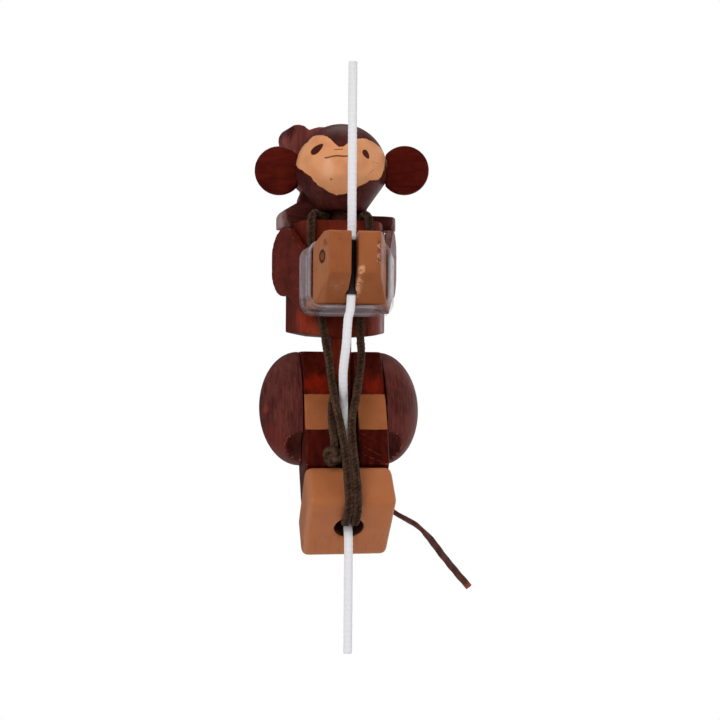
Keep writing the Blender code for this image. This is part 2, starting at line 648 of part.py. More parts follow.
def add_rider(material, axis):
    """The young one on the back: a straight body, and a round head with two ears that leans over."""
    front = TORSO_REAR + GLUE_GAP
    rear = front + RIDER_THICKNESS
    middle = RIDER_BODY_OFFSET
    half = RIDER_BODY_WIDTH / 2
    neck = RIDER_NECK_WIDTH / 2
    nape = RIDER_NAPE_WIDTH / 2
    nape_rise = RIDER_HEAD_RISE - RIDER_NAPE_DROP
    lean = RIDER_OFFSET / 2
    body = rounded(
        [
            (middle - half, TORSO_TOP - RIDER_BODY_DROP, RIDER_ROUND),
            (middle + half, TORSO_TOP - RIDER_BODY_DROP, RIDER_ROUND),
            (middle + half, TORSO_TOP + RIDER_BODY_RISE, RIDER_ROUND),
            (middle + neck, TORSO_TOP + RIDER_NECK_RISE, RIDER_ROUND),
            (lean + nape, TORSO_TOP + nape_rise, 0.0),
            (lean - nape, TORSO_TOP + nape_rise, 0.0),
            (middle - neck, TORSO_TOP + RIDER_NECK_RISE, RIDER_ROUND),
            (middle - half, TORSO_TOP + RIDER_BODY_RISE, RIDER_ROUND),
        ]
    )
    rider = add_mesh("back_rider", prism_mesh(body, "Y", front, rear), material, axis)
    turn = Matrix.Rotation(RIDER_HEAD_TURN, 3, "Z")
    head = Vector((RIDER_OFFSET, front, TORSO_TOP + RIDER_HEAD_RISE))
    depth = turn @ Vector((0.0, RIDER_THICKNESS, 0.0))
    round_head = rod_mesh(head, head + depth, RIDER_HEAD_RADIUS, ROUND_SIDES)
    combine(rider, round_head, "UNION", axis)
    for side in (-1, 1):
        across = Vector((side * math.cos(RIDER_HEAD_TILT), 0.0, -side * math.sin(RIDER_HEAD_TILT)))
        ear = head + turn @ across * RIDER_EAR_REACH
        combine(rider, rod_mesh(ear, ear + depth, RIDER_EAR_RADIUS, PIN_SIDES), "UNION", axis)


def add_tongue(material, axis):
    """The waist tongue: glued up into the torso, round at the hip pin that it turns on."""
    radius = TONGUE_DEPTH / 2
    outline = [
        Vector((HIP.y + radius, TORSO_BOTTOM + TONGUE_SEAT)),
        Vector((HIP.y - radius, TORSO_BOTTOM + TONGUE_SEAT)),
    ]
    steps = math.ceil(math.pi / ARC_STEP)
    for step in range(steps + 1):
        angle = math.pi + math.pi * step / steps
        outline.append(Vector((HIP.y, HIP.z)) + radius * Vector((math.cos(angle), math.sin(angle))))
    half = TONGUE_WIDTH / 2
    tongue = add_mesh("waist_tongue", prism_mesh(outline, "X", -half, half), material, axis)
    across = Vector((half + CUT_EXTRA, 0.0, 0.0))
    hole = HIP_PIN_DIAMETER / 2 + RUNNING_GAP
    combine(tongue, rod_mesh(HIP - across, HIP + across, hole, PIN_SIDES), "DIFFERENCE", axis)


def leg_back_points():
    """The back of the legs, as (depth, height): under the rump, then down to the foot."""
    end = LEG_FRONT_END + SOLE_DOWN * LEG_END
    return (HIP.y + LEG_BEHIND, HIP.z - LEG_KNEE_DROP), (end.y, end.z)


def add_legs(material, axis):
    """Both legs in one block: a bulging front, a flat top, and a slot from the front and the top."""
    top = HIP.z + LEG_TOP_RISE
    front_top = Vector((HIP.y - LEG_TOP_AHEAD, top))
    front_low = Vector((LEG_FRONT_END.y, LEG_FRONT_END.z))
    front = arc_between(front_low, front_top, LEG_BULGE)
    knee, end = leg_back_points()
    rear = rounded(
        [
            (*front_top, 0.0),
            (HIP.y + LEG_BEHIND, top, LEG_REAR_ROUND),
            (*knee, LEG_REAR_ROUND),
            (*end, 0.0),
            (*front_low, 0.0),
        ]
    )
    half = LEG_WIDTH / 2
    outline = front + rear[1:-1]
    legs = add_mesh("leg_block", prism_mesh(outline, "X", -half, half), material, axis)
    slant = (Vector(end) - Vector(knee)).normalized()
    inward = Vector((slant.y, -slant.x)) * WEB
    web_top = HIP.z + WEB_RISE
    slot = [
        Vector((-HAND_REACH, top + CUT_EXTRA)),
        Vector((HIP.y + LEG_BEHIND + CUT_EXTRA, top + CUT_EXTRA)),
        Vector((HIP.y + LEG_BEHIND + CUT_EXTRA, web_top)),
        Vector((HIP.y + LEG_BEHIND - WEB, web_top)),
        Vector((HIP.y + LEG_BEHIND - WEB, knee[1])),
        Vector(end) + inward + slant * CUT_EXTRA,
        Vector((-HAND_REACH, end[1] - CUT_EXTRA)),
    ]
    slot_mesh = prism_mesh(slot, "X", -SLOT_HALF, SLOT_HALF)
    combine(legs, slot_mesh, "DIFFERENCE", axis)
    across = Vector((half + CUT_EXTRA, 0.0, 0.0))
    hole = HIP_PIN_DIAMETER / 2 + GLUE_GAP
    combine(legs, rod_mesh(HIP - across, HIP + across, hole, PIN_SIDES), "DIFFERENCE", axis)
    seat, away = tail_seat()
    tail_hole = rod_mesh(seat - away * WEB, seat + away * CUT_EXTRA, TAIL_DIAMETER / 2 + GLUE_GAP, PIN_SIDES)
    combine(legs, tail_hole, "DIFFERENCE", axis)


def tail_seat():
    """Where the tail leaves the back of the legs, and the way that it points there."""
    knee, end = (Vector(point) for point in leg_back_points())
    slant = (end - knee).normalized()
    share = (HIP.z - TAIL_DROP - knee.y) / slant.y
    place = knee + slant * share
    return Vector((0.0, place.x, place.y)), Vector((0.0, -slant.y, slant.x))


def add_haunch(name, side, material, axis):
    """One haunch: half an egg that leans forward, scooped where it meets the shin."""
    flat = LEG_WIDTH / 2 + GLUE_GAP
    centre = Vector((side * flat, HIP.y, HIP.z - HAUNCH_DROP))
    radii = (HAUNCH_THICKNESS, HAUNCH_SHORT, HAUNCH_LONG)
    bm = ball_mesh(Vector((0.0, 0.0, 0.0)), radii, ROUND_SIDES, ROUND_SIDES // 2)
    lean = Matrix.Rotation(-HAUNCH_LEAN, 4, "X")
    bmesh.ops.transform(bm, matrix=Matrix.Translation(centre) @ lean, verts=bm.verts)
    plane = {"plane_co": centre, "plane_no": Vector((-side, 0.0, 0.0))}
    everything = bm.verts[:] + bm.edges[:] + bm.faces[:]
    cut = bmesh.ops.bisect_plane(bm, geom=everything, clear_outer=True, **plane)
    rim = [item for item in cut["geom_cut"] if isinstance(item, bmesh.types.BMEdge)]
    bmesh.ops.contextual_create(bm, geom=rim)
    haunch = add_mesh(name, bm, material, axis)
    scoop = HIP + Vector((side * (flat + SCOOP_OUT), -SCOOP_FORWARD, -SCOOP_DROP))
    radii = (SCOOP_RADIUS, SCOOP_RADIUS, SCOOP_RADIUS)
    combine(haunch, ball_mesh(scoop, radii, PIN_SIDES, PIN_SIDES // 2), "DIFFERENCE", axis)
    inner = HIP + Vector((side * (flat - CUT_EXTRA), 0.0, 0.0))
    outer = HIP + Vector((side * (flat + HIP_PIN_SEAT + GLUE_GAP), 0.0, 0.0))
    hole = HIP_PIN_DIAMETER / 2 + GLUE_GAP
    combine(haunch, rod_mesh(inner, outer, hole, PIN_SIDES), "DIFFERENCE", axis)


def add_foot(material, axis):
    """The foot: a rounded slab across the ends of the legs, bored square to its sole for the cord."""
    toe = Vector((TOE.y, TOE.z))
    down = Vector((SOLE_DOWN.y, SOLE_DOWN.z)) * FOOT_LENGTH
    back = Vector((SOLE_IN.y, SOLE_IN.z)) * FOOT_THICKNESS
    outline = [toe, toe + down, toe + down + back, toe + back]
    half = FOOT_WIDTH / 2
    foot = add_mesh("foot_block", prism_mesh(outline, "X", -half, half), material, axis)
    round_edges(foot, FOOT_EDGE, 3)
    start = BORE_MOUTH - SOLE_IN * CUT_EXTRA
    end = BORE_MOUTH + SOLE_IN * (FOOT_THICKNESS + CUT_EXTRA)
    combine(foot, rod_mesh(start, end, BORE_DIAMETER / 2, ROUND_SIDES), "DIFFERENCE", axis)


def head_profile(grow):
    """Half the head's outline as (radius, height) from the top down: a ball over a taper to a flat."""
    radius = HEAD_RADIUS + grow
    last = math.pi / 2 + math.asin(HEAD_TAPER_DROP / HEAD_RADIUS)
    steps = math.ceil(last / HEAD_STEP)
    profile = []
    for step in range(1, steps + 1):
        angle = last * step / steps
        profile.append((radius * math.sin(angle), radius * math.cos(angle)))
    return [*profile, (HEAD_FLAT_RADIUS + grow, -HEAD_BELOW - grow)], radius


def turned_mesh(centre, profile_and_top, sides):
    """A turned piece: half an outline carried round the upright line through its centre."""
    profile, top = profile_and_top
    bm = bmesh.new()
    crown = bm.verts.new(centre + Vector((0.0, 0.0, top)))
    rings = []
    for radius, height in profile:
        ring = []
        for k in range(sides):
            angle = math.tau * k / sides
            across = Vector((radius * math.cos(angle), radius * math.sin(angle), height))
            ring.append(bm.verts.new(centre + across))
        rings.append(ring)
    for k in range(sides):
        bm.faces.new((crown, rings[0][k], rings[0][(k + 1) % sides]))
    for upper, lower in zip(rings, rings[1:]):
        for k in range(sides):
            nxt = (k + 1) % sides
            bm.faces.new((upper[k], lower[k], lower[nxt], upper[nxt]))
    bm.faces.new(rings[-1])
    return bm


def add_head(material, axis):
    """The head: turned, with a blind hole by which it turns on the neck dowel."""
    head = add_mesh("head", turned_mesh(HEAD, head_profile(0.0), HEAD_SIDES), material, axis)
    low = HEAD - Vector((0.0, 0.0, HEAD_BELOW + CUT_EXTRA))
    high = HEAD - Vector((0.0, 0.0, HEAD_BELOW - NECK_IN_HEAD - GLUE_GAP))
    hole = NECK_DIAMETER / 2 + RUNNING_GAP
    combine(head, rod_mesh(low, high, hole, PIN_SIDES), "DIFFERENCE", axis)


def add_ear(name, side, material, axis):
    """One ear: a thin disc whose rim is hollowed to the round of the head that it is glued to."""
    turn = Matrix.Rotation(HEAD_TURN, 3, "Z")
    reach = HEAD_RADIUS + EAR_RADIUS - EAR_SINK
    centre = HEAD + turn @ Vector((side * reach, 0.0, 0.0))
    half = turn @ Vector((0.0, EAR_THICKNESS / 2, 0.0))
    ear = add_mesh(name, rod_mesh(centre - half, centre + half, EAR_RADIUS, ROUND_SIDES), material, axis)
    round_edges(ear, EAR_EDGE, 2)
    seat = turned_mesh(HEAD, head_profile(GLUE_GAP), HEAD_SIDES)
    combine(ear, seat, "DIFFERENCE", axis)


def build():
    clear_scene()
    stained = make_material("stained_wood", (0.16, 0.030, 0.016), 0.38)
    ear_red = make_material("ear_wood", (0.155, 0.018, 0.008), 0.36)
    haunch_wood = make_material("haunch_wood", (0.13, 0.035, 0.030), 0.42)
    head_paint = make_material("head_paint", (0.080, 0.026, 0.022), 0.35)
    tan_paint = make_material("tan_paint", (0.47, 0.20, 0.095), 0.36)
    dowel_wood = make_material("dowel_wood", (0.45, 0.29, 0.15), 0.6)
    white_cord = make_material("white_cord", (0.84, 0.84, 0.85), 0.75)
    elastic = make_material("knitted_elastic", (0.085, 0.062, 0.045), 0.85)
    rubber = make_material("band_rubber", (0.42, 0.37, 0.42), 0.25)
    leather = make_material("waxed_tail_cord", (0.045, 0.018, 0.012), 0.5)

    cord_axis = make_axis("cord_line", Vector((0.0, 0.0, 0.0)))
    grip_axis = make_axis("grip_slide", Vector((0.0, 0.0, SHOULDER.z)), cord_axis)
    shoulder_axis = make_axis("shoulder_hinge", SHOULDER, grip_axis)
    neck_axis = make_axis("neck_turn", HEAD, shoulder_axis)
    hip_axis = make_axis("hip_hinge", HIP, shoulder_axis)

    low_end = BORE_MOUTH + Vector((0.0, CORD_END_BACK, -CORD_LENGTH_BELOW_FOOT))
    straight = [Vector((0.0, 0.0, -CORD_STRAIGHT * share)) for share in (0.0, 0.5, 1.0)]
    cord_points = [*straight, *route(CORD_BEND), low_end]
    add_tube("climbing_cord", cord_points, CORD_DIAMETER, 2.0 * CORD_DIAMETER, white_cord, cord_axis)

    for name, side in (("left_arm", -1), ("right_arm", 1)):
        add_arm(name, side, stained, grip_axis)
    add_mesh("wrist_band", band_mesh(), rubber, grip_axis)
    pin_end = Vector((arm_inner(SHOULDER.y) + SHOULDER_PIN_SEAT, 0.0, 0.0))
    pin = rod_mesh(SHOULDER - pin_end, SHOULDER + pin_end, SHOULDER_PIN_DIAMETER / 2, PIN_SIDES)
    add_mesh("shoulder_pin", pin, dowel_wood, grip_axis)

    add_torso(stained, shoulder_axis)
    add_yoke(stained, shoulder_axis)
    add_rider(stained, shoulder_axis)
    add_tongue(stained, shoulder_axis)
    neck_low = Vector((0.0, HEAD.y, TORSO_TOP - NECK_SEAT))
    neck_high = HEAD - Vector((0.0, 0.0, HEAD_BELOW - NECK_IN_HEAD))
    neck = rod_mesh(neck_low, neck_high, NECK_DIAMETER / 2, PIN_SIDES)
    add_mesh("neck_dowel", neck, dowel_wood, shoulder_axis)
    loop = elastic_route()
    add_tube("elastic_cord", loop, ELASTIC_DIAMETER, 2.2 * ELASTIC_DIAMETER, elastic, shoulder_axis)

    add_head(head_paint, neck_axis)
    for name, side in (("left_ear", -1), ("right_ear", 1)):
        add_ear(name, side, ear_red, neck_axis)

    add_legs(stained, hip_axis)
    add_foot(tan_paint, hip_axis)
    for name, side in (("left_haunch", -1), ("right_haunch", 1)):
        add_haunch(name, side, haunch_wood, hip_axis)
    pin_end = Vector((LEG_WIDTH / 2 + GLUE_GAP + HIP_PIN_SEAT, 0.0, 0.0))
    pin = rod_mesh(HIP - pin_end, HIP + pin_end, HIP_PIN_DIAMETER / 2, PIN_SIDES)
    add_mesh("hip_pin", pin, dowel_wood, hip_axis)
    knot_middle = loop[0] - Vector((0.0, 0.0, KNOT_RADIUS + KNOT_BELOW_END))
    knot_radii = (KNOT_RADIUS, KNOT_RADIUS * KNOT_DEPTH_SHARE, KNOT_RADIUS)
    knot = ball_mesh(knot_middle, knot_radii, PIN_SIDES, PIN_SIDES // 2)
    add_mesh("elastic_knot", knot, elastic, hip_axis)
    seat, away = tail_seat()
    tail_points = [seat - away * (WEB - GLUE_GAP), seat + away * TAIL_DIAMETER, *route(TAIL_ROUTE)]
    add_tube("tail", tail_points, TAIL_DIAMETER, 2.4 * TAIL_DIAMETER, leather, hip_axis)


build()
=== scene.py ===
import json
import math

import bmesh
import bpy
import numpy as np
from mathutils import Matrix, Vector

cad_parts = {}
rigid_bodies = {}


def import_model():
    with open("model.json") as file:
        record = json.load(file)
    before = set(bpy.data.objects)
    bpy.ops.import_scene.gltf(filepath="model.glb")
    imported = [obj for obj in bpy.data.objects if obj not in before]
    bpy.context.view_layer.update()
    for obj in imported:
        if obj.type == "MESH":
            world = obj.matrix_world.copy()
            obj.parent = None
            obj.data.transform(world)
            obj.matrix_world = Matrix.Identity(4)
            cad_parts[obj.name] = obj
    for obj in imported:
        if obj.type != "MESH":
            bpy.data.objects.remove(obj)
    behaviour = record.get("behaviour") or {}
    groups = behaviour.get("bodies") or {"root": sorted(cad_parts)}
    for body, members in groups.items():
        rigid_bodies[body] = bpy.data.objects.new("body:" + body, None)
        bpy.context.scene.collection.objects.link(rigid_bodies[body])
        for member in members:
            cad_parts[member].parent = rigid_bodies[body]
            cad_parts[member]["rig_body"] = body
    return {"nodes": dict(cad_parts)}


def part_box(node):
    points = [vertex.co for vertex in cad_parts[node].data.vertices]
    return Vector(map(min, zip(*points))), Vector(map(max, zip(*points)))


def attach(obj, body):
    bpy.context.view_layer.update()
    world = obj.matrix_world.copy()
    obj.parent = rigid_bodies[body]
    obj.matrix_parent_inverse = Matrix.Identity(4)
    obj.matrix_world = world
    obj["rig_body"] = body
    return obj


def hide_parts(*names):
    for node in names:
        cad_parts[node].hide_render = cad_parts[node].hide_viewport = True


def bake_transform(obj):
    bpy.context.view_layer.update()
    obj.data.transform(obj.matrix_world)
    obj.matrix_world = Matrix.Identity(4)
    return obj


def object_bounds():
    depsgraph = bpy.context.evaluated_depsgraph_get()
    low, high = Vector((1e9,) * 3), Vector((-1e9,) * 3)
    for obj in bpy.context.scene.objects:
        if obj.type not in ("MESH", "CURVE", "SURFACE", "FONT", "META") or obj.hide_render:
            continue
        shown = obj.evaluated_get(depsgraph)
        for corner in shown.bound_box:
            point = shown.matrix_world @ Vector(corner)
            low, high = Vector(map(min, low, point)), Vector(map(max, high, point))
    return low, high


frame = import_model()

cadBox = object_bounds()
mm = 0.001
evenly = (1.0, 1.0, 1.0)  # a noise that isn't drawn out
print("frame loaded:", len(frame["nodes"]), "nodes")

# camera, light and background

view = {
    "azimuth": -9.0,  # degrees round the cord, towards the figure's right hand
    "distance": 350.0,  # mm from the cord
    "level": -96.1,  # mm, the height of the lens
    "aside": 3.0,  # mm to the right of the cord
    "roll": 0.45,  # degrees, the cord leans that much in the picture
    "lens": 54.25,
}

lighting = {
    "worldLevel": 0.5,  # what the surroundings give to every side
    "wallLevel": 1.0,  # what the varnish mirrors on the side of the bright wall
    "darkSide": 0.12,  # and elsewhere
    "wallRight": (0.25, 0.45),  # how far right the wall begins, and over how much it fades
    "wallTop": (0.45, 0.3),
    "floorDrop": 0.30,  # m below the cord's lower end
    "floorSize": 0.75,
    "floorGlow": 0.3,
    "middle": (0.0, 0.02, -0.09),  # m, what the lamps point at
    "lamps": (  # name, place in m, size in m, power in W
        ("softboxLeft", (-0.75, -0.95, 0.55), 0.9, 8.0),
        ("softboxRight", (0.95, -0.55, 0.25), 0.7, 2.6),
        ("topLight", (0.1, 0.35, 0.95), 0.8, 3.4),
    ),
}


class Wire:
    # a shader socket: a + b, a - b, a b and a / b with a wire or a number add their Math node
    def __init__(self, mat, socket):
        self.mat = mat
        self.socket = socket

    def math(self, operation, *others):
        # a Math node on this wire and the others
        return self.mat.node("ShaderNodeMath", {"operation": operation}, (self, *others))

    def __add__(self, other):
        return self.math("ADD", other)

    def __mul__(self, other):
        return self.math("MULTIPLY", other)

    __radd__ = __add__
    __rmul__ = __mul__

    def __sub__(self, other):
        return self.math("SUBTRACT", other)

    def __rsub__(self, other):
        return self.mat.node("ShaderNodeMath", {"operation": "SUBTRACT"}, (other, self))

    def __truediv__(self, other):
        return self.math("DIVIDE", other)

    def __or__(self, other):
        # the greater of the two
        return self.math("MAXIMUM", other)

    def hypot(self, other):
        # the root of a a + b b
        return (self * self + other * other).math("SQRT")

    def over(self, edge, soft):
        # 0 below edge - soft, 1 above edge + soft, smooth between them
        inputs = {"Value": self, "From Min": edge - soft, "From Max": edge + soft}
        return self.mat.node("ShaderNodeMapRange", {"interpolation_type": "SMOOTHSTEP"}, inputs)

    def under(self, edge, soft):
        # 1 below the edge, 0 above it
        return 1 - self.over(edge, soft)

    def other(self, name):
        # another output of the same node
        return Wire(self.mat, self.socket.node.outputs[name])


class Finish:
    # a material, or the world, as a tree of nodes
    def __init__(self, owner):
        owner.use_nodes = True
        self.owner = owner
        self.tree = owner.node_tree
        self.tree.nodes.clear()

    def node(self, kind, settings=None, inputs=(), output=0):
        # a node of the kind: its settings come first, then a wire among the inputs is linked and
        # a constant is set on its socket
        made = self.tree.nodes.new(kind)
        for name, value in (settings or {}).items():
            if name == "stops":
                self.setStops(made.color_ramp.elements, value)
            else:
                setattr(made, name, value)
        pairs = inputs.items() if isinstance(inputs, dict) else enumerate(inputs)
        for name, value in pairs:
            if isinstance(value, Wire):
                self.tree.links.new(value.socket, made.inputs[name])
            elif value is not None:
                made.inputs[name].default_value = value
        return Wire(self, made.outputs[output]) if made.outputs else None

    def setStops(self, elements, stops):
        # each stop is a place from 0 to 1 and the height there, as a grey
        while len(elements) < len(stops):
            elements.new(0.5)
        for element, (position, height) in zip(elements, stops):
            element.position = position
            element.color = (height, height, height, 1.0)

    def curve(self, at, stops):
        # the height at a place from 0 to 1, in straight lines from stop to stop
        ramp = self.node("ShaderNodeValToRGB", {"stops": stops}, (at,))
        return self.node("ShaderNodeSeparateColor", None, (ramp,))

    def vector(self, operation, *inputs, output=0):
        # a Vector Math node
        return self.node("ShaderNodeVectorMath", {"operation": operation}, inputs, output)

    def where(self, name):
        # the coordinates of that name
        return self.node("ShaderNodeTexCoord").other(name)

    def parts(self, vector):
        # its x, y and z
        first = self.node("ShaderNodeSeparateXYZ", None, (vector,))
        return first, first.other("Y"), first.other("Z")

    def dot(self, vector, direction):
        # v . d
        return self.vector("DOT_PRODUCT", vector, tuple(direction), output="Value")

    def noise(self, size, stretch=evenly, detail=3.0, roughness=0.5, twist=0.0, at=None):
        # a noise whose spots are about size millimetres, drawn out where stretch is small
        at = self.vector("MULTIPLY", at or self.spot, tuple(share / size for share in stretch))
        inputs = {"Vector": at, "Scale": 1.0, "Detail": detail}
        inputs.update({"Roughness": roughness, "Distortion": twist})
        return self.node("ShaderNodeTexNoise", None, inputs)

    def smudged(self, level, change, size=4.0):
        # a roughness: level + change (noise - 0.5)
        return level + (self.noise(size) - 0.5) * change

    def mix(self, share, first, second):
        # share of the second colour over the first; plain ones are given as the screen shows them
        first, second = (end if isinstance(end, Wire) else colour(*end) for end in (first, second))
        inputs = {0: share, 6: first, 7: second}
        return self.node("ShaderNodeMix", {"data_type": "RGBA"}, inputs, 2)

    def coats(self, base, *coats):
        # one coat after the other over the base, each a share and a colour
        for share, shade in coats:
            base = self.mix(share, base, shade)
        return base

    def surface(self, base, roughness, bump, depth, **constants):
        # bump stands depth millimetres high; the constants go to the sockets of their names
        lifted = {"Height": bump, "Distance": depth * mm, "Strength": 1.0}
        normal = self.node("ShaderNodeBump", None, lifted)
        inputs = {"Base Color": base, "Roughness": roughness, "Normal": normal}
        inputs.update({name.replace("_", " "): value for name, value in constants.items()})
        shader = self.node("ShaderNodeBsdfPrincipled", None, inputs)
        self.node("ShaderNodeOutputMaterial", None, (shader,))
        return self.owner


def colour(red, green, blue):
    # a colour as the screen shows it, 0 to 255, as the light that the shader works in
    parts = []
    for part in (red, green, blue):
        share = part / 255.0
        parts.append(share / 12.92 if share <= 0.04045 else ((share + 0.055) / 1.055) ** 2.4)
    return (*parts, 1.0)


def newMaterial(name):
    # an empty material; its spot is the point on the surface, in millimetres, at the piece's rest
    mat = Finish(bpy.data.materials.new(name))
    mat.spot = mat.vector("MULTIPLY", mat.where("Object"), (1000.0, 1000.0, 1000.0))
    return mat


def addObject(name, data):
    # an object of that data in the scene
    made = bpy.data.objects.new(name, data)
    bpy.context.scene.collection.objects.link(made)
    return made


def viewRight():
    # the camera's right: (cos a, sin a, 0)
    turn = math.radians(view["azimuth"])
    return np.array((math.cos(turn), math.sin(turn), 0.0))


def placeCamera():
    # back = right x up; roll turns right and up about back
    roll = math.radians(view["roll"])
    right, up = viewRight(), np.array((0.0, 0.0, 1.0))
    back = np.cross(right, up)
    place = back * view["distance"] + right * view["aside"] + up * view["level"]
    across = right * math.cos(roll) + up * math.sin(roll)
    upright = up * math.cos(roll) - right * math.sin(roll)
    grid = np.eye(4)
    grid[:3, 0], grid[:3, 1], grid[:3, 2], grid[:3, 3] = across, upright, back, place * mm
    camera = addObject("camera", bpy.data.cameras.new("camera"))
    camera.data.lens = view["lens"]
    camera.data.sensor_width = 36.0
    camera.data.clip_start = 0.01
    camera.matrix_world = Matrix(grid.tolist())
    bpy.context.scene.camera = camera


def seenDirectly(mat):
    # 1 for rays from the camera and for those that pass through, else 0
    rays = mat.node("ShaderNodeLightPath").other("Is Camera Ray")
    return rays | rays.other("Is Transmission Ray")


def lightScene():
    # each lamp's Z points away from the toy's middle: place - middle
    for name, place, size, power in lighting["lamps"]:
        lamp = bpy.data.lights.new(name, "AREA")
        lamp.shape = "DISK"
        lamp.size = size
        lamp.energy = power
        holder = addObject(name, lamp)
        holder.location = place
        away = Vector(np.array(place) - lighting["middle"])
        holder.rotation_mode = "QUATERNION"
        holder.rotation_quaternion = away.to_track_quat("Z", "Y")
    world = bpy.data.worlds.new("studio")
    bpy.context.scene.world = world
    sky = Finish(world)
    white = sky.node("ShaderNodeBackground", None, ((1.0, 1.0, 1.0, 1.0), 1.0))
    # what the varnish mirrors is a bright studio wall to the right, and little on the left or above
    x, _, z = sky.parts(sky.where("Generated"))
    wall = x.over(*lighting["wallRight"]) * z.under(*lighting["wallTop"]) * lighting["wallLevel"]
    wall = wall + lighting["darkSide"]
    glossy = sky.node("ShaderNodeLightPath").other("Is Glossy Ray")
    level = lighting["worldLevel"] * (1 - glossy) + wall * glossy
    plain = sky.node("ShaderNodeBackground", None, ((1.0, 0.99, 0.98, 1.0), level))
    shown = sky.node("ShaderNodeMixShader", None, (seenDirectly(sky), plain, white))
    sky.node("ShaderNodeOutputWorld", None, (shown,))


def layFloor():
    # a round pale floor well under the hanging toy; its own light lifts it to white, shadows stay
    count = 64
    angles = np.arange(count) * math.tau / count
    low = cadBox[0].z - lighting["floorDrop"]
    reach = lighting["floorSize"]
    ring = np.stack((reach * np.cos(angles), reach * np.sin(angles), np.full(count, low)), axis=1)
    mesh = bpy.data.meshes.new("floor")
    mesh.from_pydata(ring.tolist(), [], [list(range(count))])
    paper = Finish(bpy.data.materials.new("palePaper"))
    pale = paper.node("ShaderNodeBsdfDiffuse", None, ((0.93, 0.93, 0.93, 1.0),))
    power = seenDirectly(paper) * lighting["floorGlow"]
    glow = paper.node("ShaderNodeEmission", None, ((1.0, 1.0, 1.0, 1.0), power))
    both = paper.node("ShaderNodeAddShader", None, (pale, glow))
    paper.node("ShaderNodeOutputMaterial", None, (both,))
    mesh.materials.append(paper.owner)
    floor = addObject("floor", mesh)


bpy.context.scene.view_settings.view_transform = "Standard"
placeCamera()
lightScene()
layFloor()
print("camera, lights and floor are up")

# shapes


def unit(vectors):
    # v / |v|
    return vectors / np.linalg.norm(vectors, axis=-1, keepdims=True)


def openSeam(mesh, uv, turns):
    # where a face lies across a seam, its corners past the seam count one whole turn more
    starts, totals = (np.zeros(len(mesh.polygons), np.int32) for _ in range(2))
    mesh.polygons.foreach_get("loop_start", starts)
    mesh.polygons.foreach_get("loop_total", totals)
    face = np.repeat(np.arange(len(starts)), totals)
    for k, turn in enumerate(turns):
        highest = np.maximum.reduceat(uv[:, k], starts)[face]
        uv[:, k] += turn * (highest - uv[:, k] > turn / 2)
    return uv


def addPiece(name, points, faces, material, uv=None, turns=(1e6, 1.0)):
    # points in mm, faces as lists of their numbers, counted so that they face outwards
    mesh = bpy.data.meshes.new(name)
    mesh.from_pydata((np.asarray(points) * mm).tolist(), [], faces)
    mesh.validate()
    mesh.materials.append(material)
    mesh.shade_smooth()
    if uv is not None:
        corners = np.zeros(len(mesh.loops), np.int32)
        mesh.loops.foreach_get("vertex_index", corners)
        layer = mesh.uv_layers.new(name="along")
        spread = openSeam(mesh, uv[corners], turns)
        layer.data.foreach_set("uv", spread.astype(np.float32).ravel())
    return addObject(name, mesh)


def gridFaces(rows, columns, closedRows=False):
    # quads between row r and r + 1, column c and c + 1; columns always close on themselves
    r = np.arange(rows if closedRows else rows - 1)[:, None]
    c = np.arange(columns)[None, :]
    below, right = (r + 1) % rows, (c + 1) % columns
    quads = (r * columns + c, r * columns + right, below * columns + right, below * columns + c)
    return np.stack(np.broadcast_arrays(*quads), axis=-1).reshape(-1, 4).tolist()


def cappedFaces(rows, columns, turned=False):
    # a grid closed by one face at each end, or the same faces turned over
    last = (rows - 1) * columns
    ends = [list(range(columns))[::-1], list(range(last, last + columns))]
    faces = gridFaces(rows, columns) + ends
    return [face[::-1] for face in faces] if turned else faces


def smoothCurve(points, spacing):
    # Catmull-Rom: between two points p and q with slopes m and n the curve is
    # p (2t^3 - 3t^2 + 1) + m (t^3 - 2t^2 + t) + q (3t^2 - 2t^3) + n (t^3 - t^2), then spaced evenly
    p = np.asarray(points, float)
    p = np.vstack((2 * p[0] - p[1], p, 2 * p[-1] - p[-2]))
    t = np.linspace(0.0, 1.0, 24, endpoint=False)[None, :, None]
    before, here, there, after = (p[i : len(p) - 3 + i, None, :] for i in range(4))
    curve = here * (2 * t**3 - 3 * t**2 + 1) + (there - before) / 2 * (t**3 - 2 * t**2 + t)
    curve = curve + there * (3 * t**2 - 2 * t**3) + (after - here) / 2 * (t**3 - t**2)
    curve = np.vstack((curve.reshape(-1, 3), p[-2]))
    run = np.concatenate(((0.0,), np.cumsum(np.linalg.norm(np.diff(curve, axis=0), axis=1))))
    even = np.linspace(0.0, run[-1], max(2, round(run[-1] / spacing)) + 1)
    return np.stack([np.interp(even, run, curve[:, k]) for k in range(3)], axis=1), even


def sideways(path, second):
    # at each point two ways across the path, the first from X where the path runs upright
    # and from the second direction where it runs along X
    along = unit(np.gradient(path, axis=0))
    lean = np.clip((np.abs(along[:, :1]) - 0.35) / 0.4, 0.0, 1.0)
    lean = lean * lean * (3 - 2 * lean)
    wanted = np.array((1.0, 0.0, 0.0)) * (1 - lean) + np.array(second) * lean
    across = unit(wanted - along * np.sum(wanted * along, axis=1, keepdims=True))
    return across, np.cross(along, across)


def lumps(points, size, seed):
    # smooth chance heights from -1 to 1: a lattice of them, blended by 3 t^2 - 2 t^3 each way
    chance = np.random.default_rng(seed).uniform(-1.0, 1.0, (24, 24, 24))
    spot = np.asarray(points) / size
    cell = np.floor(spot).astype(int)
    t = spot - cell
    t = t * t * (3 - 2 * t)
    total = np.zeros(spot.shape[:-1])
    for corner in np.ndindex(2, 2, 2):
        share = np.prod(np.where(corner, t, 1 - t), axis=-1)
        x, y, z = np.moveaxis((cell + corner) % 24, -1, 0)
        total = total + share * chance[x, y, z]
    return total


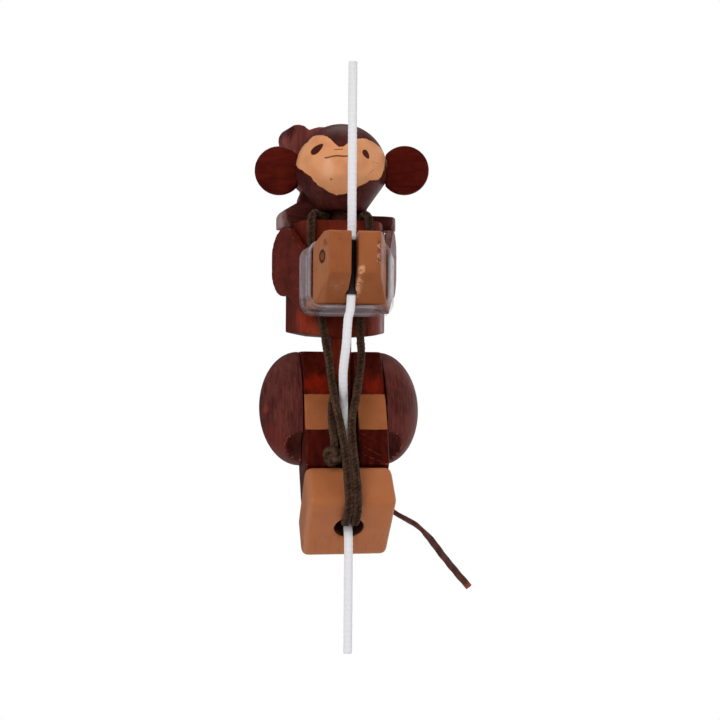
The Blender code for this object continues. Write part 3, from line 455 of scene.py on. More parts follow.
def sweep(name, path, run, section, turn, second, material, sides=16, fuzz=0.0):
    # a tube: path + x * across + y * rise, where (x, y) = section(run, angle) turned by turn(run);
    # fuzz is how far in mm its outside is ruffled
    angle = (np.arange(sides) * math.tau / sides)[None, :]
    x, y = section(run[:, None], angle)
    spin = turn(run)[:, None]
    x, y = x * np.cos(spin) - y * np.sin(spin), x * np.sin(spin) + y * np.cos(spin)
    across, rise = sideways(path, second)
    out = x[..., None] * across[:, None, :] + y[..., None] * rise[:, None, :]
    points = path[:, None, :] + out
    ruffle = fuzz * (lumps(points, 0.45, 5) + 0.6 * lumps(points, 1.7, 6))
    points = points + out * (ruffle / np.linalg.norm(out, axis=2))[..., None]
    uv = np.stack(np.broadcast_arrays(run[:, None], angle / math.tau), axis=-1).reshape(-1, 2)
    return addPiece(name, points.reshape(-1, 3), cappedFaces(len(path), sides), material, uv)


def copyOfNode(node):
    # the node's loose triangles, merged and joined into whole flat faces
    bm = bmesh.new()
    bm.from_mesh(frame["nodes"][node].data)
    bmesh.ops.remove_doubles(bm, verts=bm.verts, dist=1e-6)
    flat = math.radians(1.0)
    bmesh.ops.dissolve_limit(bm, angle_limit=flat, verts=bm.verts, edges=bm.edges)
    return bm


def sharpEdges(bm, degrees):
    # the ends of every edge that turns by more than the angle, in mm
    ends = [
        (edge.verts[0].co[:], edge.verts[1].co[:])
        for edge in bm.edges
        if len(edge.link_faces) == 2 and edge.calc_face_angle() > math.radians(degrees)
    ]
    return np.array(ends) / mm


def nearness(points, ends, reach):
    # 1 on an edge and 0 a reach away: 1 - |p - (a + t (b - a))| / reach with t held in 0 to 1
    nearest = np.full(len(points), reach)
    for start, end in ends:
        way = end - start
        t = np.clip((points - start) @ way / (way @ way), 0.0, 1.0)
        gap = np.linalg.norm(points - start - t[:, None] * way, axis=1)
        nearest = np.minimum(nearest, gap)
    return 1.0 - nearest / reach


dressing = {
    "sharp": 24.0,  # degrees, an edge that turns by more wears
    "reach": 1.3,  # mm from such an edge to where its wear ends
    "swell": 0.035,  # mm, how far flat faces rise and fall
    "seatRadius": 2.75,  # mm, the rod that fills the seat of the shoulder pin
    "seatDepth": 0.5,
}


def fillSeat(bm, middle):
    # a short rod along X in the copy: it closes the slit that the pin's seat cuts in the outer face
    place = Matrix.Translation(Vector(middle) * mm) @ Matrix.Rotation(math.pi / 2, 4, "Y")
    radius, depth = dressing["seatRadius"] * mm, dressing["seatDepth"] * mm
    size = {"radius1": radius, "radius2": radius, "depth": depth}
    bmesh.ops.create_cone(bm, cap_ends=True, segments=32, matrix=place, **size)


def markWear(mesh, wear):
    # keeps on each point how worn it is, for the materials; on the haunches it also marks a painted
    # highlight along the scoop's rim
    mesh.attributes.new("edge", "FLOAT", "POINT").data.foreach_set("value", wear)


def dressNode(node, material, grid=0.4, soft=6, knock=0.25, seat=None):
    # a copy of the node on an even grid, its edges smoothed and knocked:
    # p + n (u lumps - k near max(lumps - c, 0)); the attribute edge is 1 along the edges
    bm = copyOfNode(node)
    ends = sharpEdges(bm, dressing["sharp"])
    if seat:
        fillSeat(bm, seat)
    mesh = bpy.data.meshes.new(node + "Copy")
    bm.to_mesh(mesh)
    bm.free()
    piece = addObject(node + "Dressed", mesh)
    even = piece.modifiers.new("evenGrid", "REMESH")
    even.mode = "VOXEL"
    even.voxel_size = grid * mm
    smooth = piece.modifiers.new("softEdges", "SMOOTH")
    smooth.factor = 0.5
    smooth.iterations = soft
    bpy.context.view_layer.update()
    graph = bpy.context.evaluated_depsgraph_get()
    final = bpy.data.meshes.new_from_object(piece.evaluated_get(graph))
    piece.modifiers.clear()
    piece.data = final
    final.materials.clear()
    final.materials.append(material)
    final.shade_smooth()
    points, normals = (np.zeros((len(final.vertices), 3), np.float32) for _ in range(2))
    final.vertices.foreach_get("co", points.ravel())
    final.vertices.foreach_get("normal", normals.ravel())
    points = points / mm
    near = nearness(points, ends, dressing["reach"])
    dents = np.maximum(lumps(points, 1.4, 1) + 0.4 * lumps(points, 0.6, 2) - 0.35, 0.0)
    height = dressing["swell"] * lumps(points, 5.0, 3) - knock * near * dents
    points = points + normals * height[:, None]
    final.vertices.foreach_set("co", (points * mm).astype(np.float32).ravel())
    markWear(final, np.clip(near * (0.75 + 0.8 * dents), 0.0, 1.0))
    final.update()
    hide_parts(node)
    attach(piece, frame["nodes"][node]["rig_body"])


# woods and paints

stain = {
    "dark": (64, 17, 12),
    "light": (112, 40, 27),
    "worn": (158, 84, 54),
    "wearReach": 0.3,
    "stretch": (1.0, 1.0, 0.09),  # small along the grain
    "grain": 1.6,  # mm across a streak
    "roughness": 0.42,
    "shine": 0.1,
    "lift": 70,  # how much lighter than the wood the light that it mirrors is
    "stainAndLightPatches": (),  # middle, reach, colour and strength of each patch: stains, and painted light, shade and reflections where marked
}
woodLooks = {
    "torsoWood": {
        **stain,
        "stainAndLightPatches": (
            # painted light: the lit left part of the front, brighter orange
            ((-16.5, 20.0, -82.0), (8.0, 10.0, 10.0), (164, 56, 28), 0.65),
            ((-8.5, 19.0, -86.0), (5.0, 6.0, 5.0), (160, 72, 48), 0.6),
            # painted reflection: pinkish grey where the right part mirrors the white surroundings
            ((13.0, 22.0, -84.0), (9.0, 12.0, 8.0), (128, 66, 58), 0.7),
            ((0.0, 19.0, -53.0), (12.0, 3.0, 6.0), (122, 44, 26), 0.6),
        ),
    },
    "armWood": {
        **stain,
        "dark": (70, 17, 10), "light": (106, 32, 19), "stretch": (1.0, 0.09, 1.0),
    },
    "yokeWood": {
        **stain,
        "dark": (50, 18, 17), "light": (88, 40, 36), "stretch": (0.09, 1.0, 1.0),
        "stainAndLightPatches": (
            # painted reflections: grey where the yoke's two ends mirror the white surroundings
            ((-23.0, 30.0, -48.0), (6.4, 40.0, 12.0), (154, 128, 124), 0.95),
            ((21.6, 30.0, -48.5), (2.6, 30.0, 7.0), (150, 130, 126), 0.8),
        ),
    },
    "riderWood": {
        **stain,
        "dark": (98, 46, 43), "light": (148, 76, 71), "wearReach": 0.4,
        # painted shade on the unlit left side of the lobe
        "stainAndLightPatches": (((-17.6, 55.0, -13.0), (5.0, 90.0, 7.0), (52, 20, 18), 0.9),),
    },
    "tongueWood": {**stain, "light": (134, 48, 30)},
    "legWood": {
        **stain,
        "dark": (44, 9, 6), "light": (84, 22, 14), "worn": (150, 66, 38), "wearReach": 0.42,
        "stainAndLightPatches": (
            # painted light: brighter red across the front under its shaded top
            ((-9.0, 11.0, -103.5), (8.5, 8.0, 6.5), (132, 28, 8), 0.75),
            ((10.0, 11.0, -103.0), (6.5, 8.0, 7.5), (138, 34, 12), 0.7),
            ((-15.0, 20.0, -124.0), (3.0, 20.0, 16.0), (104, 46, 42), 0.6),
        ),
    },
    "earWood": {
        **stain,
        "dark": (58, 10, 8), "light": (90, 25, 16), "worn": (150, 84, 60), "wearReach": 0.16,
        "stretch": (0.1, 1.0, 1.0), "roughness": 0.38,
    },
    "haunchWood": {
        **stain,
        "dark": (62, 26, 24), "light": (108, 54, 48), "worn": (150, 92, 76), "wearReach": 0.34,
        "stretch": (1.0, 0.16, 0.12), "grain": 0.7, "roughness": 0.5,
        "stainAndLightPatches": (
            ((-27.0, 18.0, -113.0), (2.4, 4.0, 2.4), (168, 50, 16), 0.5),
            # painted shade inside each scoop, which faces down
            ((-15.4, 12.0, -127.0), (5.6, 6.6, 6.0), (44, 17, 15), 0.85),
            ((15.4, 12.0, -127.0), (5.6, 6.6, 6.0), (44, 17, 15), 0.85),
            ((-22.0, 20.0, -123.0), (7.0, 12.0, 8.0), (112, 32, 22), 0.45),
        ),
    },
}


def softSpot(mat, middle, reach):
    # 1 in an ellipsoid's middle, 0 at its edge, its outline broken by the noise
    offset = mat.vector("SUBTRACT", mat.spot, middle)
    inside = mat.vector("MULTIPLY", offset, tuple(1.0 / part for part in reach))
    far = mat.vector("LENGTH", inside, output="Value")
    broken = mat.noise(0.2 + 0.35 * min(reach), (1.0, 1.0, 0.35), 4.0, 0.65)
    return (far + (broken - 0.5) * 1.3).under(0.65, 0.35)


def woodColour(mat, look):
    # streaks along the grain, broad uneven stain and fine dark pores, as one colour and one height
    stretch = look["stretch"]
    streak = mat.noise(look["grain"], stretch, 4.0, 0.6, 0.6)
    fine = mat.noise(0.35, stretch, 2.0, 0.7)
    blotch = mat.noise(9.0, (1.0, 1.0, 0.6), 2.0)
    tone = streak.over(0.5, 0.17) * 0.5 + blotch.over(0.5, 0.2) * 0.4 + (fine - 0.5) * 0.7 + 0.05
    base = mat.mix(tone, look["dark"], look["light"])
    # patches of another stain, and of painted light, shade and reflection where the look marks them
    for middle, reach, shade, strength in look["stainAndLightPatches"]:
        spot = softSpot(mat, middle, reach) * (fine * 0.9 + 0.55)
        base = mat.mix(spot * strength, base, shade)
    pores = fine.over(0.66, 0.05)
    base = mat.mix(pores * 0.55, base, tuple(0.5 * part for part in look["dark"]))
    return base, streak * 0.6 + fine * 0.4


def wearMask(mat, reach):
    # lighter along the edges, in runs and chips: wear, and on the haunches' scoop rims a painted
    # highlight
    edge = mat.node("ShaderNodeAttribute", {"attribute_name": "edge"}).other("Fac")
    broken = mat.noise(2.2, evenly, 5.0, 0.7)
    return (edge + (broken - 0.5) * 1.5).over(1.2 - reach, 0.12)


def wornWood(mat, look):
    # the wood's colour and height with its worn edges (on the haunches' scoop rims a painted
    # highlight), and where they are
    base, height = woodColour(mat, look)
    worn = wearMask(mat, look["wearReach"])
    return mat.mix(worn * 0.85, base, look["worn"]), height, worn


def sheen(level, tint, lift=0):
    # what the varnish mirrors straight on takes the tint of its ground; at a slant it stays white
    lifted = colour(*(min(255, part + lift) for part in tint))
    return {"Specular_IOR_Level": level, "Specular_Tint": lifted}


def makeWood(name):
    # stained wood all over, a little rougher where it is worn
    look = woodLooks[name]
    mat = newMaterial(name)
    base, height, worn = wornWood(mat, look)
    roughness = mat.smudged(look["roughness"], 0.25, 5.0) + worn * 0.15
    mirrored = sheen(look["shine"], look["light"], look["lift"])
    return mat.surface(base, roughness, height, 0.05, **mirrored)


bare = ("torsoWood", "yokeWood", "riderWood", "tongueWood", "earWood", "haunchWood")
woods = {name: makeWood(name) for name in bare}

paintLook = {
    "tan": (160, 95, 58),
    "deep": (138, 78, 46),
    "light": (176, 118, 84),  # tan, seen where the paint is thin or rubbed, and as painted light on the foot
    "chip": (84, 32, 20),
    "bare": (216, 162, 122),  # the wood that shows in the chips
    "shine": 0.16,  # of pieces that are painted in part
    "sheen": (0.22, (236, 200, 170)),
}
footLook = {
    "tint": (196, 118, 72),  # painted light: a little lighter than the tan of the hands, where the lamps light the foot less
    "wornAndLitFrom": 12.0,  # mm aside, its edges get a lighter line from there on: wear and painted highlight
    # painted light on the foot's left side, from this far aside
    "paintedLightSide": -12.6,
    "fanTop": -152.5,  # worn lines below this height
    "fanTint": (104, 56, 32),
    "boreMouth": (0.0, 1.0, -150.5),
    "boreWay": (0.0, 0.7314, 0.682),  # into the foot, square to its sole
    "boreRadius": 4.85,
    "boreShadeTint": (34, 14, 9),
}
handLook = {
    "back": 3.4,  # mm behind the cord where the paint of the hands ends
    "cornerBack": 8.4,  # the same at their lower corners
    "cornerTop": -76.0,
    "slant": (-8.3, -8.0),  # mm aside and behind, where the slanting side begins
    "ring": (-9.9, 0.7, -63.2, 2.1),  # the rubbed ring: its place and half its size, aside and up
    "dents": (((-10.6, 8.0, -66.2), (2.2, 9.0, 3.4)), ((-9.0, -5.0, -59.0), (1.6, 3.0, 1.6))),
    "torn": (7.0, -65.6, -58.4),  # paint torn off from this far aside, between these heights
    # painted highlight: its middle and reach
    "highlight": ((-5.0, -5.0, -73.5), (3.4, 6.0, 3.4)),
    "chips": (((1.8, -8.0, -67.6), (2.2, 6.0, 2.0)), ((1.6, -4.0, -73.0), (1.9, 9.0, 5.6))),
    "lineTint": (112, 66, 44),
    "ringTint": (104, 54, 32),
    "rimTint": (60, 30, 20),
    "dentTint": (94, 48, 30),
    "tornTint": (118, 56, 38),
    "splinter": (212, 168, 140),  # pale wood where the paint is torn off
    "highlightTint": (196, 158, 132),
}
legLook = {
    "stripeTop": -107.6,
    "stripeLow": -119.0,
    "scratches": (  # both ends, aside and up
        ((4.0, -119.9), (9.6, -122.6)),
        ((4.4, -124.0), (11.0, -127.4)),
        ((5.4, -127.2), (12.0, -129.8)),
    ),
    "scratchWidth": 0.1,
    "scratchTint": (168, 62, 30),
}


def tanColour(mat):
    # brushed tan: broad soft changes, fine brush lines and a few dark specks
    broad = mat.noise(8.0)
    brush = mat.noise(0.8, (1.0, 1.0, 0.12), 3.0, 0.6)
    speck = mat.noise(1.1, evenly, 2.0, 0.4)
    tone = broad.over(0.5, 0.25) * 0.6 + (brush - 0.5) * 0.4
    base = mat.mix(tone, paintLook["tan"], paintLook["deep"])
    base = mat.mix(speck.over(0.76, 0.02) * 0.6, base, paintLook["chip"])
    return base, brush * 0.5 + broad * 0.5


def strokeMask(mat, u, v, start, end, width):
    # 1 within width of the line from start to end: |p - (a + t (b - a))| with t held in 0 to 1
    way = np.array(end) - np.array(start)
    length = float(np.linalg.norm(way))
    way = way / length
    along = (u - start[0]) * way[0] + (v - start[1]) * way[1]
    aside = (v - start[1]) * way[0] - (u - start[0]) * way[1]
    held = along.math("MAXIMUM", 0.0).math("MINIMUM", length)
    rest = along - held
    return rest.hypot(aside).under(width, 0.35 * width)


def makeTan():
    # the foot: tan, lighter all over and down its left side as painted light, with a lighter line
    # on its upright edges from wear and painted highlight, and painted shade in its bore
    mat = newMaterial("tanPaint")
    x, _, z = mat.parts(mat.spot)
    base, height = tanColour(mat)
    # a lighter line on the upright edges: partly wear, partly a painted highlight
    wornAndLit = wearMask(mat, 0.3) * x.math("ABSOLUTE").over(footLook["wornAndLitFrom"], 0.9) * 0.55
    # painted light: the left side of the foot lighter, as it takes the light
    side = (x + (mat.noise(4.0) - 0.5)).under(footLook["paintedLightSide"], 0.8)
    fan = mat.noise(1.5, (1.0, 0.15, 0.15), 3.0, 0.6).over(0.58, 0.08)
    fan = fan * z.under(footLook["fanTop"], 1.5)
    # how far from the bore's axis: |p|^2 = along^2 + far^2
    offset = mat.vector("SUBTRACT", mat.spot, footLook["boreMouth"])
    along = mat.dot(offset, footLook["boreWay"])
    away = mat.vector("LENGTH", offset, output="Value")
    far = (away * away - along * along).math("SQRT")
    # painted shade inside the bore
    inside = far.under(footLook["boreRadius"], 0.15) * along.over(-0.2, 0.6)
    base = mat.coats(
        base,
        # painted light: a lighter tan over the whole foot
        (0.4, footLook["tint"]),
        (side * 0.45, paintLook["light"]),
        (wornAndLit, paintLook["light"]),
        (fan * 0.2, footLook["fanTint"]),
        (inside * 0.92, footLook["boreShadeTint"]),
    )
    roughness = mat.smudged(0.4, 0.25)
    return mat.surface(base, roughness, height, 0.04, **sheen(*paintLook["sheen"]))


def overWood(mat, look, painted, paint, paintHeight):
    # stained wood with the paint where the mask is 1, which lies a little above the wood
    wood, woodHeight, _ = wornWood(mat, look)
    base = mat.mix(painted, wood, paint)
    roughness = mat.smudged(look["roughness"], 0.3)
    height = woodHeight * 0.5 + paintHeight * 0.4 + painted * 1.2
    mirrored = sheen(paintLook["shine"], look["light"], look["lift"])
    return mat.surface(base, roughness, height, 0.05, **mirrored)


def makeHandPaint():
    # the hands: tan to the wrist, lines on the slanting sides, a rubbed ring, chips at the grip and
    # a painted highlight low on the front
    mat = newMaterial("handPaint")
    x, y, z = mat.parts(mat.spot)
    paint, height = tanColour(mat)
    slant = x.under(handLook["slant"][0], 0.3) * y.over(handLook["slant"][1], 0.3)
    lines = mat.noise(0.5, (1.0, 1.0, 0.07), 3.0, 0.6)
    ringX, halfWidth, ringZ, halfHeight = handLook["ring"]
    ring = ((x - ringX) / halfWidth).hypot((z - ringZ) / halfHeight)
    rim = ring.over(0.62, 0.14) * ring.under(1.05, 0.16)
    broken = mat.noise(1.0, evenly, 4.0, 0.7)
    dents = (softSpot(mat, *dent) * broken.over(0.5, 0.07) for dent in handLook["dents"])
    ragged = (broken - 0.5) * 2.4
    side, low, high = handLook["torn"]
    level = z + ragged
    torn = (x + ragged).over(side, 0.3) * level.over(low, 0.5) * level.under(high, 0.5)
    # painted highlight: a lighter patch low on the front of the left hand
    highlight = softSpot(mat, *handLook["highlight"]) * broken.over(0.52, 0.12)
    chips = wearMask(mat, 0.1)
    for chip in handLook["chips"]:
        chips = chips | softSpot(mat, *chip) * broken.over(0.44, 0.05)
    paint = mat.coats(
        paint,
        (slant * (lines * 0.9), paintLook["light"]),
        (slant * lines.over(0.62, 0.05) * 0.5, handLook["lineTint"]),
        (ring.under(0.85, 0.2) * 0.75, handLook["ringTint"]),
        (rim * slant * 0.95, handLook["rimTint"]),
        *((dent * 0.8, handLook["dentTint"]) for dent in dents),
        (torn * 0.85, handLook["tornTint"]),
        (torn * broken.over(0.56, 0.05) * 0.6, handLook["splinter"]),
        (highlight * 0.3, handLook["highlightTint"]),
        (chips * 0.85, paintLook["bare"]),
    )
    back = y + (mat.noise(3.0) - 0.5) * 1.5
    corner = back.under(handLook["cornerBack"], 0.4) * z.under(handLook["cornerTop"], 0.8)
    painted = back.under(handLook["back"], 0.2) | corner
    return overWood(mat, woodLooks["armWood"], painted, paint, height)


def makeStripePaint():
    # the legs: a tan band between two heights on the front faces, and scratches under it
    mat = newMaterial("stripePaint")
    x, _, z = mat.parts(mat.spot)
    paint, height = tanColour(mat)
    ahead = mat.dot(mat.where("Normal"), (0.0, -1.0, 0.0)).over(0.55, 0.1)
    level = z + (mat.noise(2.5) - 0.5) * 0.5
    painted = level.under(legLook["stripeTop"], 0.1) * level.over(legLook["stripeLow"], 0.1) * ahead
    scratch = x * 0.0
    for start, end in legLook["scratches"]:
        scratch = scratch | strokeMask(mat, x, z, start, end, legLook["scratchWidth"])
    scratch = scratch * ahead * mat.noise(1.0).over(0.48, 0.1) * (1 - painted) * 0.45
    share = scratch / (scratch + painted + 0.001)
    hue = mat.mix(share, paint, legLook["scratchTint"])
    return overWood(mat, woodLooks["legWood"], painted | scratch, hue, height)


dowelLook = {"dark": (44, 16, 12), "light": (82, 34, 24), "roughness": 0.6}


def makeDowel():
    # the pins and the neck dowel: turned wood under the same dark stain
    mat = newMaterial("dowelWood")
    streak = mat.noise(0.7, (0.1, 1.0, 1.0), 4.0, 0.6)
    base = mat.mix(streak.over(0.5, 0.2), dowelLook["dark"], dowelLook["light"])
    roughness = dowelLook["roughness"] + (streak - 0.5) * 0.2
    return mat.surface(base, roughness, streak, 0.05, Specular_IOR_Level=0.1)


tanPaint = makeTan()
handPaint = makeHandPaint()
stripePaint = makeStripePaint()
dowelWood = makeDowel()
for node in ("shoulder_pin", "hip_pin", "neck_dowel"):
    frame["nodes"][node].material_slots[0].material = dowelWood
print("woods and paints mixed")

# climbing cord

cordLook = {
    "diameter": 3.0,
    "light": (238, 237, 240),
    "shade": (212, 211, 217),
    "dirt": (206, 202, 196),
    "gripShadeTint": (16, 9, 7),
    "braidPitch": 3.4,  # mm along the cord for one turn of a strand
    # the colour of the painted shade where the cord lies between the hands
    "relief": 0.03,
    "gripShadeStart": (57.4, 0.35),  # mm along the cord where the painted shade of the grip begins, and how softly
    "gripShadeEnd": (75.2, 0.4),
}

cordRoute = (
    (0.0, 0.0, 0.0), (0.0, 0.0, -37.5), (0.0, 0.0, -75.0), (-0.9, 0.4, -83.0),
    (-1.3, 1.3, -91.0), (-1.75, 4.6, -100.0), (-0.9, 9.2, -109.5), (-0.3, 12.6, -119.5),
    (0.9, 14.2, -129.5), (0.7, 14.9, -136.0), (0.4, 13.2, -141.6), (0.2, 9.0, -146.2),
    (0.1, 4.9, -150.1), (0.0, 2.2, -153.5), (0.0, 1.6, -159.0), (0.0, 1.6, -175.0),
    (0.0, 1.6, -191.0),
)


def makeCordFinish():
    # two sets of strands that cross: sin(4 a + k s) and sin(4 a - k s); painted shade where the
    # cord lies deep between the hands
    mat = newMaterial("whiteBraid")
    run, angle, _ = mat.parts(mat.where("UV"))
    pitch = math.tau / cordLook["braidPitch"]
    one = (angle * (4 * math.tau) + run * pitch).math("SINE")
    two = (angle * (4 * math.tau) - run * pitch).math("SINE")
    weave = one * two
    dirt = mat.noise(7.0, (1.0, 1.0, 0.3), 4.0, 0.6)
    base = mat.mix(weave * 0.12 + 0.88, cordLook["shade"], cordLook["light"])
    base = mat.mix(dirt.over(0.62, 0.1) * 0.25, base, cordLook["dirt"])
    # painted shade: the white cord darkened where it lies deep in the gap between the hands
    gripShade = run.over(*cordLook["gripShadeStart"]) * run.under(*cordLook["gripShadeEnd"])
    base = mat.mix(gripShade * 0.98, base, cordLook["gripShadeTint"])
    fibre = mat.noise(0.2, (1.0, 1.0, 0.4), 2.0)
    return mat.surface(base, 0.75, weave * 0.4 + fibre * 0.4, 0.06, Specular_IOR_Level=0.25)


def cordSection(run, angle):
    # r = R (1 - e + e sin(4 a + k s) sin(4 a - k s)): crossing strands stand out
    pitch = math.tau / cordLook["braidPitch"]
    radius = cordLook["diameter"] / 2
    weave = np.sin(4 * angle + run * pitch) * np.sin(4 * angle - run * pitch)
    grow = radius * (1 - cordLook["relief"] + cordLook["relief"] * weave)
    return grow * np.cos(angle), grow * np.sin(angle)


def noTurn(run):
    # the section keeps its way all along
    return run * 0.0


cordPath, cordRun = smoothCurve(cordRoute, 0.5)
cord = sweep(
    "climbingCord", cordPath, cordRun, cordSection, noTurn, (0.0, 0.0, 1.0), makeCordFinish(),
    fuzz=0.035,
)
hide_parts("climbing_cord")
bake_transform(cord)

# elastic, its knot and the tail

elasticLook = {
    "diameter": 2.7,
    "rib": 0.36,  # how deep the two ribs of the knitted elastic are parted
    "light": (102, 75, 57),
    "dark": (36, 23, 17),
    "fleck": (150, 122, 102),
    "neckRing": 5.35,  # mm, the loop's radius round the neck dowel
    "neckLevel": -46.85,
    "neckMiddle": 25.0,
    "besideNeck": ((-8.2, 21.7, -46.85), (7.0, 21.7, -46.85)),
    "drawnIn": 0.76,  # how much nearer the middle the right side runs than the left one
}

elasticStart = (
    (-5.5, -0.4, -127.0), (-5.1, 0.3, -122.6), (-5.4, 2.7, -118.0), (-5.3, 5.6, -113.0),
    (-4.5, 8.6, -108.9), (-3.0, 11.3, -105.8), (-2.5, 14.6, -104.5), (-2.45, 17.4, -106.4),
    (-2.45, 18.2, -111.0), (-2.45, 17.9, -119.0), (-2.45, 17.4, -127.0), (-2.4, 15.4, -134.1),
    (-2.1, 11.5, -138.4), (-1.6, 6.6, -142.6), (-1.4, 1.8, -145.9), (-1.6, -1.2, -148.2),
    (-1.6, -3.3, -148.0), (-1.6, -6.1, -145.8), (-1.6, -8.8, -143.0), (-1.6, -9.6, -140.2),
    (-1.6, -8.5, -137.2), (-1.55, -5.6, -132.6), (-1.7, -2.6, -126.8), (-3.1, 1.6, -116.4),
    (-4.7, 6.2, -106.6), (-5.8, 11.0, -95.5),
)
elasticNeck = (
    (-7.2, 16.0, -84.5), (-9.0, 16.8, -72.0), (-11.0, 17.0, -59.0), (-11.3, 17.05, -51.5),
    (-10.9, 17.45, -47.6), (-9.4, 19.1, -46.5),
)
# how far aside the right strand goes down, at the depths and heights where the left one came up
elasticAside = (5.2, 3.1, 0.75, 0.85, 1.15, 1.25, 1.25, 1.3, 1.3, 1.4, 1.4, 1.4)
elasticEnd = (1.4, 6.0, -142.6)


def elasticPoints():
    # up on the left, a ring round the neck, (r cos a, y + r sin a, level), down on the right:
    # beside the neck the right side is the left one's, drawn in
    angles = np.radians(np.linspace(190.0, -10.0, 8))
    ring = elasticLook["neckRing"]
    level = np.full(8, elasticLook["neckLevel"])
    behind = elasticLook["neckMiddle"] + ring * np.sin(angles)
    loop = np.stack((ring * np.cos(angles), behind, level), axis=1)
    left = np.array(elasticNeck)
    right = left[::-1] * (-elasticLook["drawnIn"], 1.0, 1.0)
    sides = np.array(elasticLook["besideNeck"])
    down = np.array(elasticStart)[::-1][: len(elasticAside)]
    down[:, 0] = elasticAside
    lap = (elasticStart, left, sides[:1], loop, sides[1:], right, down, elasticEnd)
    return np.vstack(lap)


def makeElasticFinish():
    # dark in the groove between the ribs, brown-grey on them, under a fuzz with pale fibres
    mat = newMaterial("knittedElastic")
    run, angle, _ = mat.parts(mat.where("UV"))
    twice = angle * (2 * math.tau)
    rib = twice.math("COSINE")
    knit = (run * 4.4 + twice.math("SINE") * 1.6).math("SINE")
    fuzz = mat.noise(0.4, evenly, 5.0, 0.75)
    broad = mat.noise(2.6, evenly, 2.0)
    tone = rib * 0.24 + knit * 0.08 + (fuzz - 0.5) * 2.3 + (broad - 0.5) * 0.9 + 0.38
    base = mat.mix(tone, elasticLook["dark"], elasticLook["light"])
    fibres = mat.noise(0.5, (1.0, 1.0, 0.35), 4.0, 0.7)
    base = mat.mix(fibres.over(0.66, 0.04) * 0.6, base, elasticLook["fleck"])
    height = rib * 0.3 + knit * 0.12 + fuzz * 1.5
    return mat.surface(base, 0.95, height, 0.22, Specular_IOR_Level=0.08)


def ribbed(run, angle):
    # two ribs side by side: r = R (1 - d + d |cos a|^0.7), a little uneven along the run
    radius = elasticLook["diameter"] / 2
    rib = elasticLook["rib"]
    uneven = 0.03 * np.sin(0.9 * run + 2.0 * np.sin(0.23 * run))
    grow = radius * (1 - rib + rib * np.abs(np.cos(angle)) ** 0.7 + uneven)
    return grow * np.cos(angle), grow * np.sin(angle)


knittedElastic = makeElasticFinish()
elasticPath, elasticRun = smoothCurve(elasticPoints(), 0.3)
elastic = sweep(
    "elasticCord", elasticPath, elasticRun, ribbed, noTurn, (0.0, 0.0, 1.0), knittedElastic,
    sides=24, fuzz=0.13,
)
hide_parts("elastic_cord")
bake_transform(elastic)

knotLook = {
    "reach": 2.45,  # mm, the size of the knot
    "tube": 1.3,  # mm, the radius of its cord
    "middle": (-5.7, -0.3, -127.1),
    "steps": 120,
    "sides": 12,
    "fuzz": 0.14,
}


def knotCurve():
    # an overhand knot closed on itself: ((2 + cos 3t) cos 2t, 1.5 sin 3t, (2 + cos 3t) sin 2t)
    t = np.linspace(0.0, math.tau, knotLook["steps"], endpoint=False)
    wide = 2.0 + np.cos(3 * t)
    points = np.stack((wide * np.cos(2 * t), 1.5 * np.sin(3 * t), wide * np.sin(2 * t)), axis=1)
    return points * (knotLook["reach"] / 3.0) + np.array(knotLook["middle"])


def addKnot():
    # rings of the tube stand across the closed curve: n = along x outwards, b = along x n
    steps, sides = knotLook["steps"], knotLook["sides"]
    path = knotCurve()
    along = unit(np.roll(path, -1, axis=0) - np.roll(path, 1, axis=0))
    across = unit(np.cross(along, path - np.array(knotLook["middle"])))
    rise = np.cross(along, across)
    angle = (np.arange(sides) * math.tau / sides)[None, :, None]
    tube = knotLook["tube"] * (0.85 + 0.15 * np.abs(np.cos(angle)))
    aside = np.cos(angle) * across[:, None]
    points = path[:, None] + tube * (aside + np.sin(angle) * rise[:, None])
    run = np.arange(steps)[:, None] * 0.25
    uv = np.stack(np.broadcast_arrays(run, angle[:, :, 0] / math.tau), axis=-1).reshape(-1, 2)
    points = points + knotLook["fuzz"] * lumps(points, 0.5, 8)[..., None] * aside
    faces = gridFaces(steps, sides, closedRows=True)
    turns = (steps * 0.25, 1.0)
    return addPiece("elasticKnot", points.reshape(-1, 3), faces, knittedElastic, uv, turns)


knot = addKnot()
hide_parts("elastic_knot")
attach(knot, "legs")

tailLook = {
    "width": 2.5,
    "thickness": 1.7,
    "turns": 0.8,
    "dark": (42, 21, 17),
    "light": (116, 66, 52),
    "tip": 1.5,  # mm at its end, where the cut is bare
    "tipTint": (150, 70, 44),
}

tailRoute = (
    (0.0, 28.24, -124.76), (0.0, 32.7, -127.8), (1.4, 36.6, -129.4), (4.6, 39.6, -133.6),
    (9.4, 40.4, -138.8), (14.8, 40.0, -144.4), (21.6, 38.2, -150.6), (29.8, 36.2, -155.4),
    (34.6, 35.0, -160.2), (39.0, 34.0, -166.0), (44.2, 33.0, -172.4), (48.4, 32.2, -177.2),
)


def thongSection(run, angle):
    # a flat rounded strip: x = w |cos a|^0.8, y = t |sin a|^0.6 with their signs, its edges uneven
    uneven = 1 + 0.05 * np.sin(run * 1.3) * np.cos(angle)
    x = tailLook["width"] / 2 * np.sign(np.cos(angle)) * np.abs(np.cos(angle)) ** 0.8
    y = tailLook["thickness"] / 2 * np.sign(np.sin(angle)) * np.abs(np.sin(angle)) ** 0.6
    return x * uneven, y * uneven


def thongTurn(run):
    # a steady twist and a small wave: 2 pi turns s / length + 0.35 sin(0.35 s)
    return math.tau * tailLook["turns"] * run / run[-1] + 0.35 * np.sin(run * 0.35)


